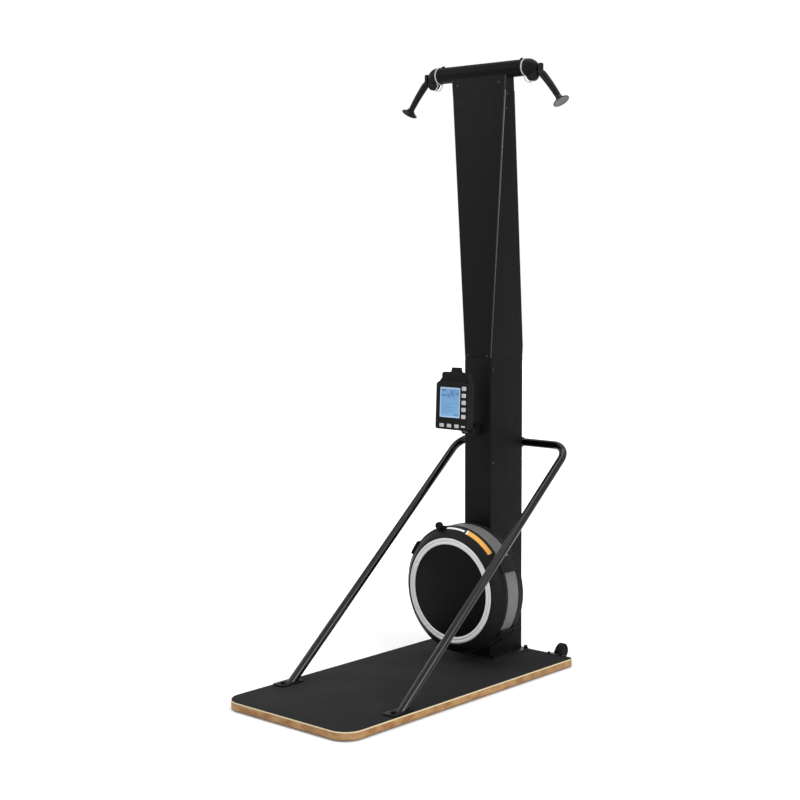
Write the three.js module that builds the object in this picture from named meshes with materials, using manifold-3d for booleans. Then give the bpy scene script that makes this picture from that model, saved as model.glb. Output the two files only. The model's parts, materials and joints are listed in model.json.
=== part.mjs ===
import * as THREE from 'three';
import { mergeVertices } from 'three/addons/utils/BufferGeometryUtils.js';
import Module from 'manifold-3d';

// Standing ski trainer with an air flywheel. Millimetres, +Z up, the user stands on the -Y side.

// Fits
const fitGap = 0.3;
const turnGap = 0.35;
const cutOverrun = 6;
const mergeDistance = 0.0005;

// Sides of round pieces, from the drum down to the pins
const drumSides = 36;
const wideSides = 20;
const roundSides = 14;
const smallSides = 10;
const shaftSides = 12;
const fineSides = 108;
const pinSides = 8;

// Platform
const platformWidth = 580;
const platformLength = 1205;
const boardThickness = 28;
const matThickness = 2;
const matInset = 1.5;
const frontCornerRadius = 70;
const rearCornerRadius = 15;
const footHeight = 5;
const footRadius = 20;
const footTaper = 2;
const footEdgeDistance = 62;

// Transport wheels behind the platform
const wheelRadius = 29;
const wheelWidth = 22;
const wheelEdgeRound = 3;
const wheelDish = 3;
const wheelHubRadius = 9;
const wheelRimInner = 21;
const wheelEdgeDistance = 77;
const wheelSetback = 33;
const wheelFloorGap = 12;
const wheelPinRadius = 4;
const bracketSheet = 3;
const bracketBaseWidth = 74;
const bracketBaseHeight = 25;
const bracketEarRadius = 9;
const bracketBoltRadius = 5;
const bracketBoltHeight = 3;

// Column
const columnWidth = 124;
const columnDepth = 190;
const columnRearGap = 18;
const columnWall = 2.5;
const columnCorner = 4;
const seamLevel = 1146;
const taperLevel = 1180;
const columnTopLevel = 2183;
const columnTopWidth = 259;
const columnTopDepth = 46;
const sideTopLevel = 2118;
const rearCoverSheet = 2;
const rearCoverRecess = 0.5;
const basePlateThickness = 4;
const basePlateFlange = 30;
const basePlateFrontReach = 16;
const basePlateRearReach = 12;
const basePlateCorner = 10;
const baseBoltRadius = 8;
const baseBoltHeight = 6;
const baseWasherRadius = 12;
const baseWasherHeight = 2;
const baseBoltInset = 15;

// Saddle that joins the column and the crossbar
const saddleInset = 1;

// Crossbar and its end rings
const barLevel = 2193;
const barRadius = 30;
const barWall = 2.5;
const barLength = 396;
const barScrewRadius = 4.5;
const barScrewHeight = 3.5;
const barScrewInset = 19;
const barScrewAngle = THREE.MathUtils.degToRad(-27);
const ringWidth = 6;
const ringRadius = 32.5;
const ringEdge = 1.2;

// Cords and pulleys
const cordRadius = 2;
const cordWrapSteps = 8;
const returnCordRadius = 3;
const pulleyRadius = 18.5;
const pulleyFlangeRadius = 21;
const pulleyDrop = 8;
const pulleyWidth = 11;
const pulleyFlangeWidth = 2;
const pulleyPinRadius = 4;
const pulleyHubRadius = 9;
const pulleyHubProud = 0.6;
const idlerRadius = 20;
const idlerFlangeRadius = 23.5;
const slotSideGap = 1.2;
const slotRimGap = 1.5;
const returnPulleyLevel = 1900;
const returnPulleyFlangeRadius = 22;
const returnPulleyWidth = 12;
const returnPinRadius = 5;
const returnPinLength = 32;

// Swivelling heads on the ends of the crossbar
const domeRadius = 31;
const domeCollarLength = 9;
const domeLength = 55;
const domeTaperPower = 1.8;
const domeRoundPower = 0.8;
const lobeRadius = 24.5;
const lobeThickness = 21;
const lobeEdge = 4;
const pulleyOffset = 27.4;
const spigotLength = 18;
const cordBoreRadius = 6;
const pullAngle = THREE.MathUtils.degToRad(40);
const exitSlotHeight = 12;
const exitSlotLength = 60;

// Handles
const headWidth = 14;
const headHeight = 38;
const headThickness = 17;
const headBevel = 3;
const headCorner = 6;
const headOffset = 62.4;
const headDrop = 8;
const shaftAngle = THREE.MathUtils.degToRad(51);
const shaftStartDrop = 20;
const shaftLength = 144;
const shaftRootRadius = 11.5;
const shaftTopRadius = 13.5;
const shaftWaistRadius = 11;
const shaftSwellLength = 18;
const shaftBow = 3;
const bellRadius = 31;
const bellFlarePower = 2.4;
const bellLength = 26;
const bellLip = 2.6;
const bellDish = 4;
const cordPocketDepth = 9;
const cordPocketRadius = 2.6;

// Drum around the flywheel
const drumFloorGap = 36.5;
const drumReach = 159;
const drumRadius = 232.5;
const drumBevelRise = 34.5;
const drumBevelDepth = 34;
const drumWall = 3;
const rearShellDepth = 47;
const rearShellStep = 2;
const rearShellChamfer = 20;
const rearShellBead = 1.5;
const meshDepth = 64;
const meshStep = 2.5;
const meshSheet = 3;
const trimEdge = 6.5;
const trimWidth = 22.5;
const trimThickness = 4.5;
const trimProud = 1;
const coverCentreRecess = 2.5;
const axleBossRadius = 18;
const axleBossLength = 13;
const lugReach = 8.5;
const lugOverlap = 0.5;
const lugClearance = 1;
const lugStart = 20;
const lugBaseEnd = 46;
const upperLugAnglesDeg = [29, 147];
const upperLugWidth = 60;
const upperLugEnd = 128;
const lowerLugAnglesDeg = [215, 323];
const lowerLugWidth = 44;
const lowerLugEnd = 114;
const scaleSheet = 0.8;
const scaleRecess = 1.3;
const scaleInset = 30;
const scaleWidth = 17;
const scaleStartDeg = 42.5;
const scaleEndDeg = 99;
const leverAngleDeg = 105;
const leverShoeArcDeg = 9;
const leverShoeHeight = 5;
const knobRadius = 14;
const knobRise = 5;
const knobSetback = 14;
const knobThickness = 18;
const knobBevel = 4;
const knobStalkWidth = 12;
const knobStalkDepth = 13;
const knobStalkDrop = 5.5;

// Flywheel, axle and cord spools
const axleRadius = 8;
const axleTail = 51;
const axleEndGap = 1;
const bearingRadius = 14;
const bearingFlangeRadius = 20;
const bearingFlange = 3;
const wheelRearOffset = 54;
const flywheelRimGap = 32.5;
const flywheelRim = 8;
const flywheelDepth = 52;
const flywheelWeb = 4;
const flywheelHubRadius = 24;
const bladeCount = 12;
const bladeThickness = 3;
const bladeInnerRadius = 70;
const bladeSweepDeg = 22;
const bladeSteps = 4;
const spoolCordLine = 28;
const returnCordLine = 18;
const spoolFlangeRadius = 33;
const spoolFlangeWidth = 1.5;
const spoolCordWidth = 6;
const spoolReturnWidth = 9;
const spoolFirstOffset = 6.5;
const spoolSpacing = 1;

// Support frame
const supportTubeRadius = 15;
const supportEdgeDistance = 32;
const supportCrossLevel = 817;
const supportCrossSetback = 30;
const supportFootDistance = 290;
const supportBendRadius = 70;
const supportPlateWidth = 52;
const supportPlateLength = 105;
const supportPlateThickness = 5;
const supportPlateCorner = 10;
const supportPlateFrontDistance = 221;
const supportBoltDistance = 250;
const supportBoltRadius = 8;
const supportBoltHeight = 5.5;
const clampWidth = 84;
const clampBaseHeight = 62;
const clampBaseThickness = 4;
const clampBlockHeight = 34;
const clampStrap = 4;

// Monitor
const monitorWidth = 148;
const monitorHeight = 175;
const monitorCorner = 9;
const monitorFrontDepth = 15;
const monitorRearDepth = 24;
const monitorBevel = 2;
const monitorReach = 155;
const monitorLevel = 975;
const monitorTilt = THREE.MathUtils.degToRad(-2.5);
const shoulderWidth = 120;
const shoulderRise = 33;
const shoulderRound = 11;
const shoulderStep = 12;
const hoodBumpWidth = 46;
const hoodBumpTopWidth = 30;
const hoodBumpRise = 17;
const screenWidth = 94;
const screenHeight = 109;
const screenOffsetX = -7;
const screenOffsetZ = 11;
const screenThickness = 2;
const screenRecess = 0.6;
const buttonTravel = 1.5;
const buttonProud = 2;
const buttonDepth = 3.5;
const buttonBevel = 0.6;
const buttonCorner = 3;
const sideButtonWidth = 19;
const sideButtonHeight = 15;
const sideButtonColumn = 58.5;
const sideButtonTop = 64;
const sideButtonPitch = 25.3;
const sideButtonCount = 5;
const baseButtonWidth = 20;
const baseButtonHeight = 13;
const baseButtonRow = 73;
const baseButtonStart = -42;
const baseButtonPitch = 35;
const baseButtonCount = 3;
const slimButtonHeight = 6;
const plateWidth = 117;
const plateSheet = 2.5;
const plateLowLevel = 853;
const plateTopGap = 4;
const plateCorner = 6;
const pivotReach = 58;
const pivotLevel = 880;
const pivotPinRadius = 4;
const bracketEarSheet = 3;
const mountBaseWidth = 62;
const mountBaseHeight = 52;
const mountEarRadius = 13;
const armWidth = 32;
const armRadius = 10;
const armFlangeWidth = 72;
const armFlangeHeight = 54;
const armFlangeThickness = 4;
const armFlangeLift = 34;
const tiltKnobRadius = 11;
const tiltKnobLength = 13;

// Levels and places that follow from the sizes
const boardLow = footHeight;
const matLow = boardLow + boardThickness;
const deckTop = matLow + matThickness;
const platformFront = -(platformLength + wheelSetback + wheelRadius) / 2;
const platformRear = platformFront + platformLength;
const columnRear = platformRear - columnRearGap;
const columnFront = columnRear - columnDepth;
const columnLow = deckTop + basePlateThickness;
const barY = columnFront + columnTopDepth / 2;
const barInner = barRadius - barWall;
const headStart = barLength / 2 + fitGap + ringWidth + fitGap;
const wrapStep = Math.PI / cordWrapSteps;
const grooveFloor = (cordLine, cord) => cordLine * Math.cos(wrapStep / 2) - cord - fitGap;
const ahead = (distance) => columnFront - distance;
const drumLevel = deckTop + drumFloorGap + drumRadius;
const drumFaceRadius = drumRadius - drumBevelRise;
const rearShellRadius = drumRadius - rearShellStep;
const meshRadius = drumRadius - meshStep;
const lugOuterRadius = drumRadius + lugReach;
const trimOuterRadius = drumFaceRadius - trimEdge;
const trimInnerRadius = trimOuterRadius - trimWidth;
const flywheelRadius = drumRadius - flywheelRimGap;
const knobCentreRadius = drumRadius + knobRise;
const knobStalkFloor = drumRadius - knobStalkDrop;

const wasm = await Module();
wasm.setup();

// Closed surfaces
function signedVolume(position, index) {
  const a = new THREE.Vector3();
  const b = new THREE.Vector3();
  const c = new THREE.Vector3();
  let sum = 0;
  for (let i = 0; i < index.length; i += 3) {
    a.fromBufferAttribute(position, index[i]);
    b.fromBufferAttribute(position, index[i + 1]);
    c.fromBufferAttribute(position, index[i + 2]);
    sum += a.dot(b.cross(c));
  }
  return sum;
}

function tidy(geometry) {
  const source = geometry.clone();
  source.deleteAttribute('normal');
  source.deleteAttribute('uv');
  const merged = mergeVertices(source, mergeDistance);
  const old = merged.index.array;
  const kept = [];
  for (let i = 0; i < old.length; i += 3) {
    const [a, b, c] = [old[i], old[i + 1], old[i + 2]];
    if (a !== b && b !== c && c !== a) kept.push(a, b, c);
  }
  if (signedVolume(merged.attributes.position, kept) < 0) {
    for (let i = 0; i < kept.length; i += 3) [kept[i], kept[i + 1]] = [kept[i + 1], kept[i]];
  }
  merged.setIndex(kept);
  return merged;
}

function solid(geometry) {
  const clean = tidy(geometry);
  const vertProperties = new Float32Array(clean.attributes.position.array);
  const triVerts = new Uint32Array(clean.index.array);
  return new wasm.Manifold(new wasm.Mesh({ numProp: 3, vertProperties, triVerts }));
}

function surface(body) {
  const mesh = body.getMesh();
  const geometry = new THREE.BufferGeometry();
  geometry.setAttribute('position', new THREE.BufferAttribute(new Float32Array(mesh.vertProperties), 3));
  geometry.setIndex(Array.from(mesh.triVerts));
  return geometry;
}

function join(...parts) {
  return parts.reduce((all, next) => all.add(next));
}

// Outlines in a plane, counter-clockwise
function roundedRect(width, height, radius, centreX = 0, centreY = 0) {
  const w = width / 2;
  const h = height / 2;
  const shape = new THREE.Shape();
  shape.absarc(centreX + w - radius, centreY + h - radius, radius, 0, Math.PI / 2);
  shape.absarc(centreX - w + radius, centreY + h - radius, radius, Math.PI / 2, Math.PI);
  shape.absarc(centreX - w + radius, centreY - h + radius, radius, Math.PI, 1.5 * Math.PI);
  shape.absarc(centreX + w - radius, centreY - h + radius, radius, 1.5 * Math.PI, 2 * Math.PI);
  shape.closePath();
  return shape;
}

function rectangle(width, height, centreX, centreY) {
  return polygon([[-1, -1], [1, -1], [1, 1], [-1, 1]]
    .map(([sx, sy]) => [centreX + (sx * width) / 2, centreY + (sy * height) / 2]));
}

function annularSector(inner, outer, startDeg, endDeg) {
  const start = THREE.MathUtils.degToRad(startDeg);
  const end = THREE.MathUtils.degToRad(endDeg);
  const shape = new THREE.Shape();
  shape.absarc(0, 0, outer, start, end, false);
  shape.absarc(0, 0, inner, end, start, true);
  shape.closePath();
  return shape;
}

function polygon(points) {
  return new THREE.Shape(points.map(([x, y]) => new THREE.Vector2(x, y)));
}

// Extrusions: upright along Z, across along X with the outline in YZ, through along Y in XZ
function upright(shape, low, high, bevel = 0, steps = 8) {
  const options = bevelled(high - low, bevel, steps);
  return new THREE.ExtrudeGeometry(shape, options).translate(0, 0, low + bevel);
}

function bevelled(length, bevel, steps) {
  return {
    depth: length - 2 * bevel,
    curveSegments: steps,
    bevelEnabled: bevel > 0,
    bevelThickness: bevel,
    bevelSize: bevel,
    bevelOffset: -bevel,
    bevelSegments: 1,
  };
}

function across(shape, left, right, bevel = 0, steps = 8) {
  const basis = new THREE.Matrix4().makeBasis(
    new THREE.Vector3(0, 1, 0), new THREE.Vector3(0, 0, 1), new THREE.Vector3(1, 0, 0));
  return upright(shape, left, right, bevel, steps).applyMatrix4(basis);
}

function through(shape, front, rear, bevel = 0, steps = 8) {
  const basis = new THREE.Matrix4().makeBasis(
    new THREE.Vector3(1, 0, 0), new THREE.Vector3(0, 0, 1), new THREE.Vector3(0, -1, 0));
  return upright(shape, -rear, -front, bevel, steps).applyMatrix4(basis);
}

// Turned pieces: profile of [radius, place along the axis]
function turnedY(profile, sides = 32) {
  return new THREE.LatheGeometry(profile.map(([r, t]) => new THREE.Vector2(r, t)), sides);
}

function turnedX(profile, sides = 32) {
  return turnedY(profile, sides).rotateZ(-Math.PI / 2);
}

function turnedZ(profile, sides = 32) {
  return turnedY(profile, sides).rotateX(Math.PI / 2);
}

function rodProfile(radius, low, high) {
  return [[0, low], [radius, low], [radius, high], [0, high]];
}

function ringProfile(inner, outer, low, high) {
  return [[inner, low], [outer, low], [outer, high], [inner, high], [inner, low]];
}

// A rounded rim from a turned face to a turned side
function roundedRodProfile(radius, low, high, round, steps = 3) {
  const points = [[0, low]];
  for (let i = 0; i <= steps; i += 1) {
    const a = (i / steps) * Math.PI / 2;
    points.push([radius - round + round * Math.sin(a), low + round - round * Math.cos(a)]);
  }
  for (let i = 0; i <= steps; i += 1) {
    const a = (i / steps) * Math.PI / 2;
    points.push([radius - round + round * Math.cos(a), high - round + round * Math.sin(a)]);
  }
  points.push([0, high]);
  return points;
}

// A solid through rings that all have the same number of points
function loft(rings) {
  const count = rings[0].length;
  const position = [];
  const index = [];
  for (const ring of rings) for (const p of ring) position.push(p.x, p.y, p.z);
  for (let k = 0; k + 1 < rings.length; k += 1) {
    for (let i = 0; i < count; i += 1) {
      const j = (i + 1) % count;
      const [a, b] = [k * count + i, k * count + j];
      index.push(a, b, b + count, a, b + count, a + count);
    }
  }
  const last = (rings.length - 1) * count;
  for (let i = 1; i + 1 < count; i += 1) {
    index.push(0, i + 1, i);
    index.push(last, last + i, last + i + 1);
  }
  const geometry = new THREE.BufferGeometry();
  geometry.setAttribute('position', new THREE.Float32BufferAttribute(position, 3));
  geometry.setIndex(index);
  return geometry;
}

const alongX = new THREE.Vector3(1, 0, 0);
const alongY = new THREE.Vector3(0, 1, 0);
const alongZ = new THREE.Vector3(0, 0, 1);
const steepShare = 0.9;

// A round section carried along points, with its own radius at each
function sweep(points, radii, sides) {
  const rings = [];
  let normal = null;
  for (let k = 0; k < points.length; k += 1) {
    const before = points[Math.max(k - 1, 0)];
    const after = points[Math.min(k + 1, points.length - 1)];
    const tangent = new THREE.Vector3().subVectors(after, before).normalize();
    if (!normal) normal = Math.abs(tangent.y) < steepShare ? alongY : alongX;
    normal = normal.clone().addScaledVector(tangent, -normal.dot(tangent)).normalize();
    const side = new THREE.Vector3().crossVectors(tangent, normal);
    const radius = Array.isArray(radii) ? radii[k] : radii;
    const ring = [];
    for (let i = 0; i < sides; i += 1) {
      const a = (i / sides) * 2 * Math.PI;
      ring.push(points[k].clone()
        .addScaledVector(normal, radius * Math.cos(a))
        .addScaledVector(side, radius * Math.sin(a)));
    }
    rings.push(ring);
  }
  return loft(rings);
}

// Points of an arc in the plane of two directions
function arc(centre, first, second, radius, from, to, steps) {
  const points = [];
  for (let i = 0; i <= steps; i += 1) {
    const a = from + (to - from) * (i / steps);
    points.push(centre.clone()
      .addScaledVector(first, radius * Math.cos(a))
      .addScaledVector(second, radius * Math.sin(a)));
  }
  return points;
}

// Finished pieces
const group = new THREE.Group();
group.name = 'ski_trainer';
const paint = {
  wood: ['#a5793f', 0.6, 0.0],
  deck: ['#2c2c2e', 0.85, 0.0],
  rubber: ['#1b1b1c', 0.9, 0.0],
  column: ['#222224', 0.45, 0.3],
  trim: ['#b9babc', 0.45, 0.2],
  steel: ['#9a9c9f', 0.35, 0.9],
  plastic: ['#1d1d1f', 0.5, 0.0],
  mesh: ['#77787a', 0.55, 0.5],
  scale: ['#e8912a', 0.5, 0.0],
  screen: ['#5f9ad0', 0.2, 0.0],
  button: ['#bfc0c2', 0.5, 0.0],
  cord: ['#3a3b3d', 0.8, 0.0],
  aluminium: ['#8d9095', 0.4, 0.8],
};

function put(name, piece, look) {
  const geometry = piece instanceof THREE.BufferGeometry ? tidy(piece) : surface(piece);
  geometry.computeVertexNormals();
  const [color, roughness, metalness] = paint[look];
  const mesh = new THREE.Mesh(geometry, new THREE.MeshStandardMaterial({ color, roughness, metalness }));
  mesh.name = name;
  group.add(mesh);
}

function mirrored(piece) {
  const geometry = piece instanceof THREE.BufferGeometry ? piece.clone() : surface(piece);
  return tidy(geometry.scale(-1, 1, 1));
}

function putPair(stem, piece, look) {
  put(`${stem}_right`, piece, look);
  put(`${stem}_left`, mirrored(piece), look);
}

// Platform: round corners at the user's end, almost square ones at the column
function platformOutline(inset) {
  const w = platformWidth / 2 - inset;
  const front = platformFront + inset;
  const rear = platformRear - inset;
  const [rf, rr] = [frontCornerRadius - inset, rearCornerRadius - inset];
  const shape = new THREE.Shape();
  shape.absarc(w - rr, rear - rr, rr, 0, Math.PI / 2);
  shape.absarc(-w + rr, rear - rr, rr, Math.PI / 2, Math.PI);
  shape.absarc(-w + rf, front + rf, rf, Math.PI, 1.5 * Math.PI);
  shape.absarc(w - rf, front + rf, rf, 1.5 * Math.PI, 2 * Math.PI);
  shape.closePath();
  return shape;
}
put('platform_board', upright(platformOutline(0), boardLow, matLow, 0, 7), 'wood');
put('deck_mat', upright(platformOutline(matInset), matLow, deckTop, 0, 7), 'deck');

const footX = platformWidth / 2 - footEdgeDistance;
const footPlaces = [['front', platformFront + footEdgeDistance], ['rear', platformRear - footEdgeDistance]];
for (const [name, y] of footPlaces) {
  const foot = turnedZ([[0, 0], [footRadius - footTaper, 0], [footRadius, footTaper],
    [footRadius, footHeight], [0, footHeight]], smallSides).translate(footX, y, 0);
  putPair(`foot_${name}`, foot, 'rubber');
}

// Column foot: a plate with four bolts on washers
function hexHead(radius, low, high) {
  return turnedZ(rodProfile(radius, low, high), 6);
}
const basePlateWidth = columnWidth + 2 * basePlateFlange;
const basePlateLow = columnFront - basePlateFrontReach;
const basePlateHigh = columnRear + basePlateRearReach;
const basePlateShape = roundedRect(basePlateWidth, basePlateHigh - basePlateLow, basePlateCorner,
  0, (basePlateLow + basePlateHigh) / 2);
let columnFoot = solid(upright(basePlateShape, deckTop, columnLow, 0, 2));
for (const x of [-1, 1].map((side) => side * (basePlateWidth / 2 - baseBoltInset))) {
  for (const y of [basePlateLow + baseBoltInset, basePlateHigh - baseBoltInset]) {
    const washerTop = columnLow + baseWasherHeight;
    const washerLow = deckTop + basePlateThickness / 2;
    const washer = turnedZ(rodProfile(baseWasherRadius, washerLow, washerTop), smallSides);
    const bolt = hexHead(baseBoltRadius, columnLow, washerTop + baseBoltHeight);
    columnFoot = join(columnFoot, solid(washer.translate(x, y, 0)), solid(bolt.translate(x, y, 0)));
  }
}
put('column_foot', columnFoot, 'column');

// Column: the front face is one upright plane, the sides flare above the seam, the rear leans in
function columnSize(level) {
  const flare = THREE.MathUtils.clamp((level - seamLevel) / (columnTopLevel - seamLevel), 0, 1);
  const lean = THREE.MathUtils.clamp((level - taperLevel) / (columnTopLevel - taperLevel), 0, 1);
  return {
    width: THREE.MathUtils.lerp(columnWidth, columnTopWidth, flare),
    depth: THREE.MathUtils.lerp(columnDepth, columnTopDepth, lean),
  };
}

function ringOf(shape, level, steps) {
  return shape.getPoints(steps).slice(0, -1).map((p) => new THREE.Vector3(p.x, p.y, level));
}

function columnRing(level, at = level) {
  const { width, depth } = columnSize(level);
  return ringOf(roundedRect(width, depth, columnCorner, 0, columnFront + depth / 2), at, 2);
}

function boxRing(halfWidth, front, rear, level) {
  return [[halfWidth, rear], [-halfWidth, rear], [-halfWidth, front], [halfWidth, front]]
    .map(([x, y]) => new THREE.Vector3(x, y, level));
}

function hollowRing(level, at = level) {
  const { width, depth } = columnSize(level);
  const rear = columnFront + depth + cutOverrun;
  return boxRing(width / 2 - columnWall, columnFront + columnWall, rear, at);
}

function coverRing(level, at = level) {
  const { width, depth } = columnSize(level);
  const rear = columnFront + depth - rearCoverRecess;
  return boxRing(width / 2 - columnWall - fitGap, rear - rearCoverSheet, rear, at);
}

const lowerTop = seamLevel - fitGap;
let lowerColumn = solid(loft([columnRing(columnLow), columnRing(lowerTop)]));
lowerColumn = lowerColumn.subtract(solid(loft([
  hollowRing(columnLow, columnLow - cutOverrun), hollowRing(lowerTop, lowerTop + cutOverrun)])));
const bearingHoleProfile = rodProfile(bearingRadius + fitGap, ahead(cutOverrun), ahead(-cutOverrun));
const bearingHole = turnedY(bearingHoleProfile, roundSides).translate(0, 0, drumLevel);
lowerColumn = lowerColumn.subtract(solid(bearingHole));
put('lower_column', lowerColumn, 'column');
put('lower_rear_cover', loft([coverRing(columnLow, columnLow + fitGap), coverRing(lowerTop)]), 'column');

const upperLevels = [seamLevel, taperLevel, columnTopLevel];
let upperColumn = solid(loft(upperLevels.map((level) => columnRing(level))));
upperColumn = upperColumn.subtract(solid(loft([
  hollowRing(seamLevel, seamLevel - cutOverrun),
  ...upperLevels.map((level) => hollowRing(level)),
  hollowRing(columnTopLevel, columnTopLevel + cutOverrun)])));
const barSeat = solid(turnedX(rodProfile(barRadius + fitGap, -barLength, barLength), wideSides)
  .translate(0, barY, barLevel));
const sideCut = solid(upright(roundedRect(2 * columnTopWidth, columnDepth, columnCorner,
  0, columnFront + columnWall + columnDepth / 2), sideTopLevel, columnTopLevel + cutOverrun, 0, 1));
const returnPinRear = columnFront + columnWall + returnPinLength;
const returnPin = turnedY(rodProfile(returnPinRadius, columnFront + columnWall / 2, returnPinRear), pinSides);
upperColumn = join(upperColumn.subtract(barSeat).subtract(sideCut),
  solid(returnPin.translate(0, 0, returnPulleyLevel)));
put('upper_column', upperColumn, 'column');
put('upper_rear_cover', loft([
  coverRing(seamLevel), coverRing(taperLevel), coverRing(sideTopLevel - fitGap)]), 'column');

// Saddle: fills the top of the column and cradles the crossbar, slotted for the two idlers
function saddleRing(level) {
  const { width, depth } = columnSize(level);
  const front = columnFront + columnWall + fitGap;
  return boxRing(width / 2 - saddleInset, front, columnFront + depth - saddleInset, level);
}
const idlerX = spoolCordLine + idlerRadius;
const idlerLevel = barLevel - idlerRadius;
const idlerSlotWidth = 2 * (idlerFlangeRadius + slotRimGap);
const idlerSlotDepth = pulleyWidth + 2 * (pulleyHubProud + slotSideGap);
const idlerSlot = solid(upright(roundedRect(idlerSlotWidth, idlerSlotDepth, slotRimGap, idlerX, barY),
  sideTopLevel - cutOverrun, barLevel, 0, 1));
const idlerSlots = join(idlerSlot, solid(mirrored(idlerSlot)));
const saddle = solid(loft([saddleRing(sideTopLevel + fitGap), saddleRing(columnTopLevel)]))
  .subtract(barSeat).subtract(idlerSlots);
put('top_saddle', saddle, 'plastic');

// Crossbar: a tube with a slot and a pin for each idler, and a screw near each end
const barRod = solid(turnedX(rodProfile(barRadius, -barLength / 2, barLength / 2), wideSides)
  .translate(0, barY, barLevel));
let crossbar = solid(turnedX(ringProfile(barInner, barRadius, -barLength / 2, barLength / 2), wideSides)
  .translate(0, barY, barLevel));
crossbar = crossbar.subtract(idlerSlots);
for (const side of [-1, 1]) {
  const pin = turnedY(rodProfile(pulleyPinRadius, barY - barRadius, barY + barRadius), pinSides)
    .translate(side * idlerX, 0, idlerLevel);
  const screwLow = barRadius - barWall / 2;
  const screwHigh = barRadius + barScrewHeight;
  const screwProfile = roundedRodProfile(barScrewRadius, screwLow, screwHigh, barScrewHeight / 2, 1);
  const screw = turnedZ(screwProfile, pinSides).rotateX(barScrewAngle)
    .translate(side * (barLength / 2 - barScrewInset), barY, barLevel);
  crossbar = join(crossbar, solid(pin).intersect(barRod), solid(screw));
}
put('crossbar', crossbar, 'column');

// Light rings where the heads turn on the crossbar
const ringStart = barLength / 2 + fitGap;
const ringEnd = ringStart + ringWidth;
putPair('bar_ring', turnedX([[barInner, ringStart], [ringRadius - ringEdge, ringStart],
  [ringRadius, ringStart + ringEdge], [ringRadius, ringEnd - ringEdge],
  [ringRadius - ringEdge, ringEnd], [barInner, ringEnd], [barInner, ringStart]], wideSides)
  .translate(0, barY, barLevel), 'trim');

// Grooved pulley, turned about Y
function pulleyProfile(cordLine, flange, width, pin, cord = cordRadius) {
  const bore = pin + turnGap;
  const half = width / 2;
  const floor = grooveFloor(cordLine, cord);
  const wall = pulleyFlangeWidth;
  const floorHalf = cord + fitGap;
  return [[bore, -half - pulleyHubProud], [pulleyHubRadius, -half - pulleyHubProud],
    [flange, -half], [flange, -half + wall / 2], [floor, -floorHalf], [floor, floorHalf],
    [flange, half - wall / 2], [flange, half], [pulleyHubRadius, half + pulleyHubProud],
    [bore, half + pulleyHubProud], [bore, -half - pulleyHubProud]];
}
const idlerProfile = pulleyProfile(idlerRadius, idlerFlangeRadius, pulleyWidth, pulleyPinRadius);
putPair('idler', turnedY(idlerProfile, smallSides).translate(idlerX, barY, idlerLevel), 'plastic');
put('return_pulley', turnedY(pulleyProfile(returnCordLine, returnPulleyFlangeRadius, returnPulleyWidth,
  returnPinRadius, returnCordRadius), smallSides).translate(0, barY, returnPulleyLevel), 'plastic');

// Swivelling head: dome, pulley lobe and hollow spigot, cut for the pulley and the cord
const pulleyX = headStart + pulleyOffset;
const pulleyLevel = barLevel - pulleyDrop - pulleyRadius;
function domeProfile() {
  const steps = 5;
  const points = [[0, 0], [domeRadius - ringEdge, 0], [domeRadius, ringEdge]];
  for (let i = 0; i <= steps; i += 1) {
    const t = Math.sin((i / steps) * Math.PI / 2);
    const radius = domeRadius * (1 - t ** domeTaperPower) ** domeRoundPower;
    points.push([i === steps ? 0 : radius, domeCollarLength + (domeLength - domeCollarLength) * t]);
  }
  return points;
}
const dome = turnedX(domeProfile(), roundSides).translate(headStart, barY, barLevel);
const lobeProfile = roundedRodProfile(lobeRadius, -lobeThickness / 2, lobeThickness / 2, lobeEdge, 1);
const lobe = turnedY(lobeProfile, roundSides).translate(pulleyX, barY, pulleyLevel);
const spigotStart = barLength / 2 - spigotLength;
const spigotProfile = rodProfile(barInner - turnGap, spigotStart, headStart + domeCollarLength / 2);
const spigot = turnedX(spigotProfile, wideSides).translate(0, barY, barLevel);
const cordBore = sweep([
  new THREE.Vector3(spigotStart - cutOverrun, barY, barLevel), new THREE.Vector3(spigotStart, barY, barLevel),
  new THREE.Vector3(pulleyX, barY, barLevel - pulleyDrop)], cordBoreRadius, smallSides);
const pulleySlotHalf = pulleyWidth / 2 + pulleyHubProud + slotSideGap / 2;
const pulleySlot = turnedY(rodProfile(pulleyFlangeRadius + slotSideGap / 2,
  barY - pulleySlotHalf, barY + pulleySlotHalf), roundSides).translate(pulleyX, 0, pulleyLevel);
const pullDirection = new THREE.Vector3(Math.cos(pullAngle), 0, -Math.sin(pullAngle));
const exitPoint = new THREE.Vector3(pulleyX + pulleyRadius * Math.sin(pullAngle), barY,
  pulleyLevel + pulleyRadius * Math.cos(pullAngle));
const exitSlot = upright(roundedRect(exitSlotLength, 2 * pulleySlotHalf, slotRimGap, exitSlotLength / 2, 0),
  -exitSlotHeight / 2, exitSlotHeight / 2, 0, 1)
  .rotateY(pullAngle).translate(exitPoint.x, exitPoint.y, exitPoint.z);
const headPin = turnedY(rodProfile(pulleyPinRadius, barY - pulleySlotHalf - fitGap,
  barY + pulleySlotHalf + fitGap), pinSides).translate(pulleyX, 0, pulleyLevel);
const swivel = join(
  join(solid(dome), solid(lobe), solid(spigot))
    .subtract(solid(cordBore)).subtract(solid(pulleySlot)).subtract(solid(exitSlot)),
  solid(headPin));
putPair('swivel', swivel, 'plastic');
const endPulleyProfile = pulleyProfile(pulleyRadius, pulleyFlangeRadius, pulleyWidth, pulleyPinRadius);
putPair('end_pulley', turnedY(endPulleyProfile, smallSides).translate(pulleyX, barY, pulleyLevel), 'plastic');

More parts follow.
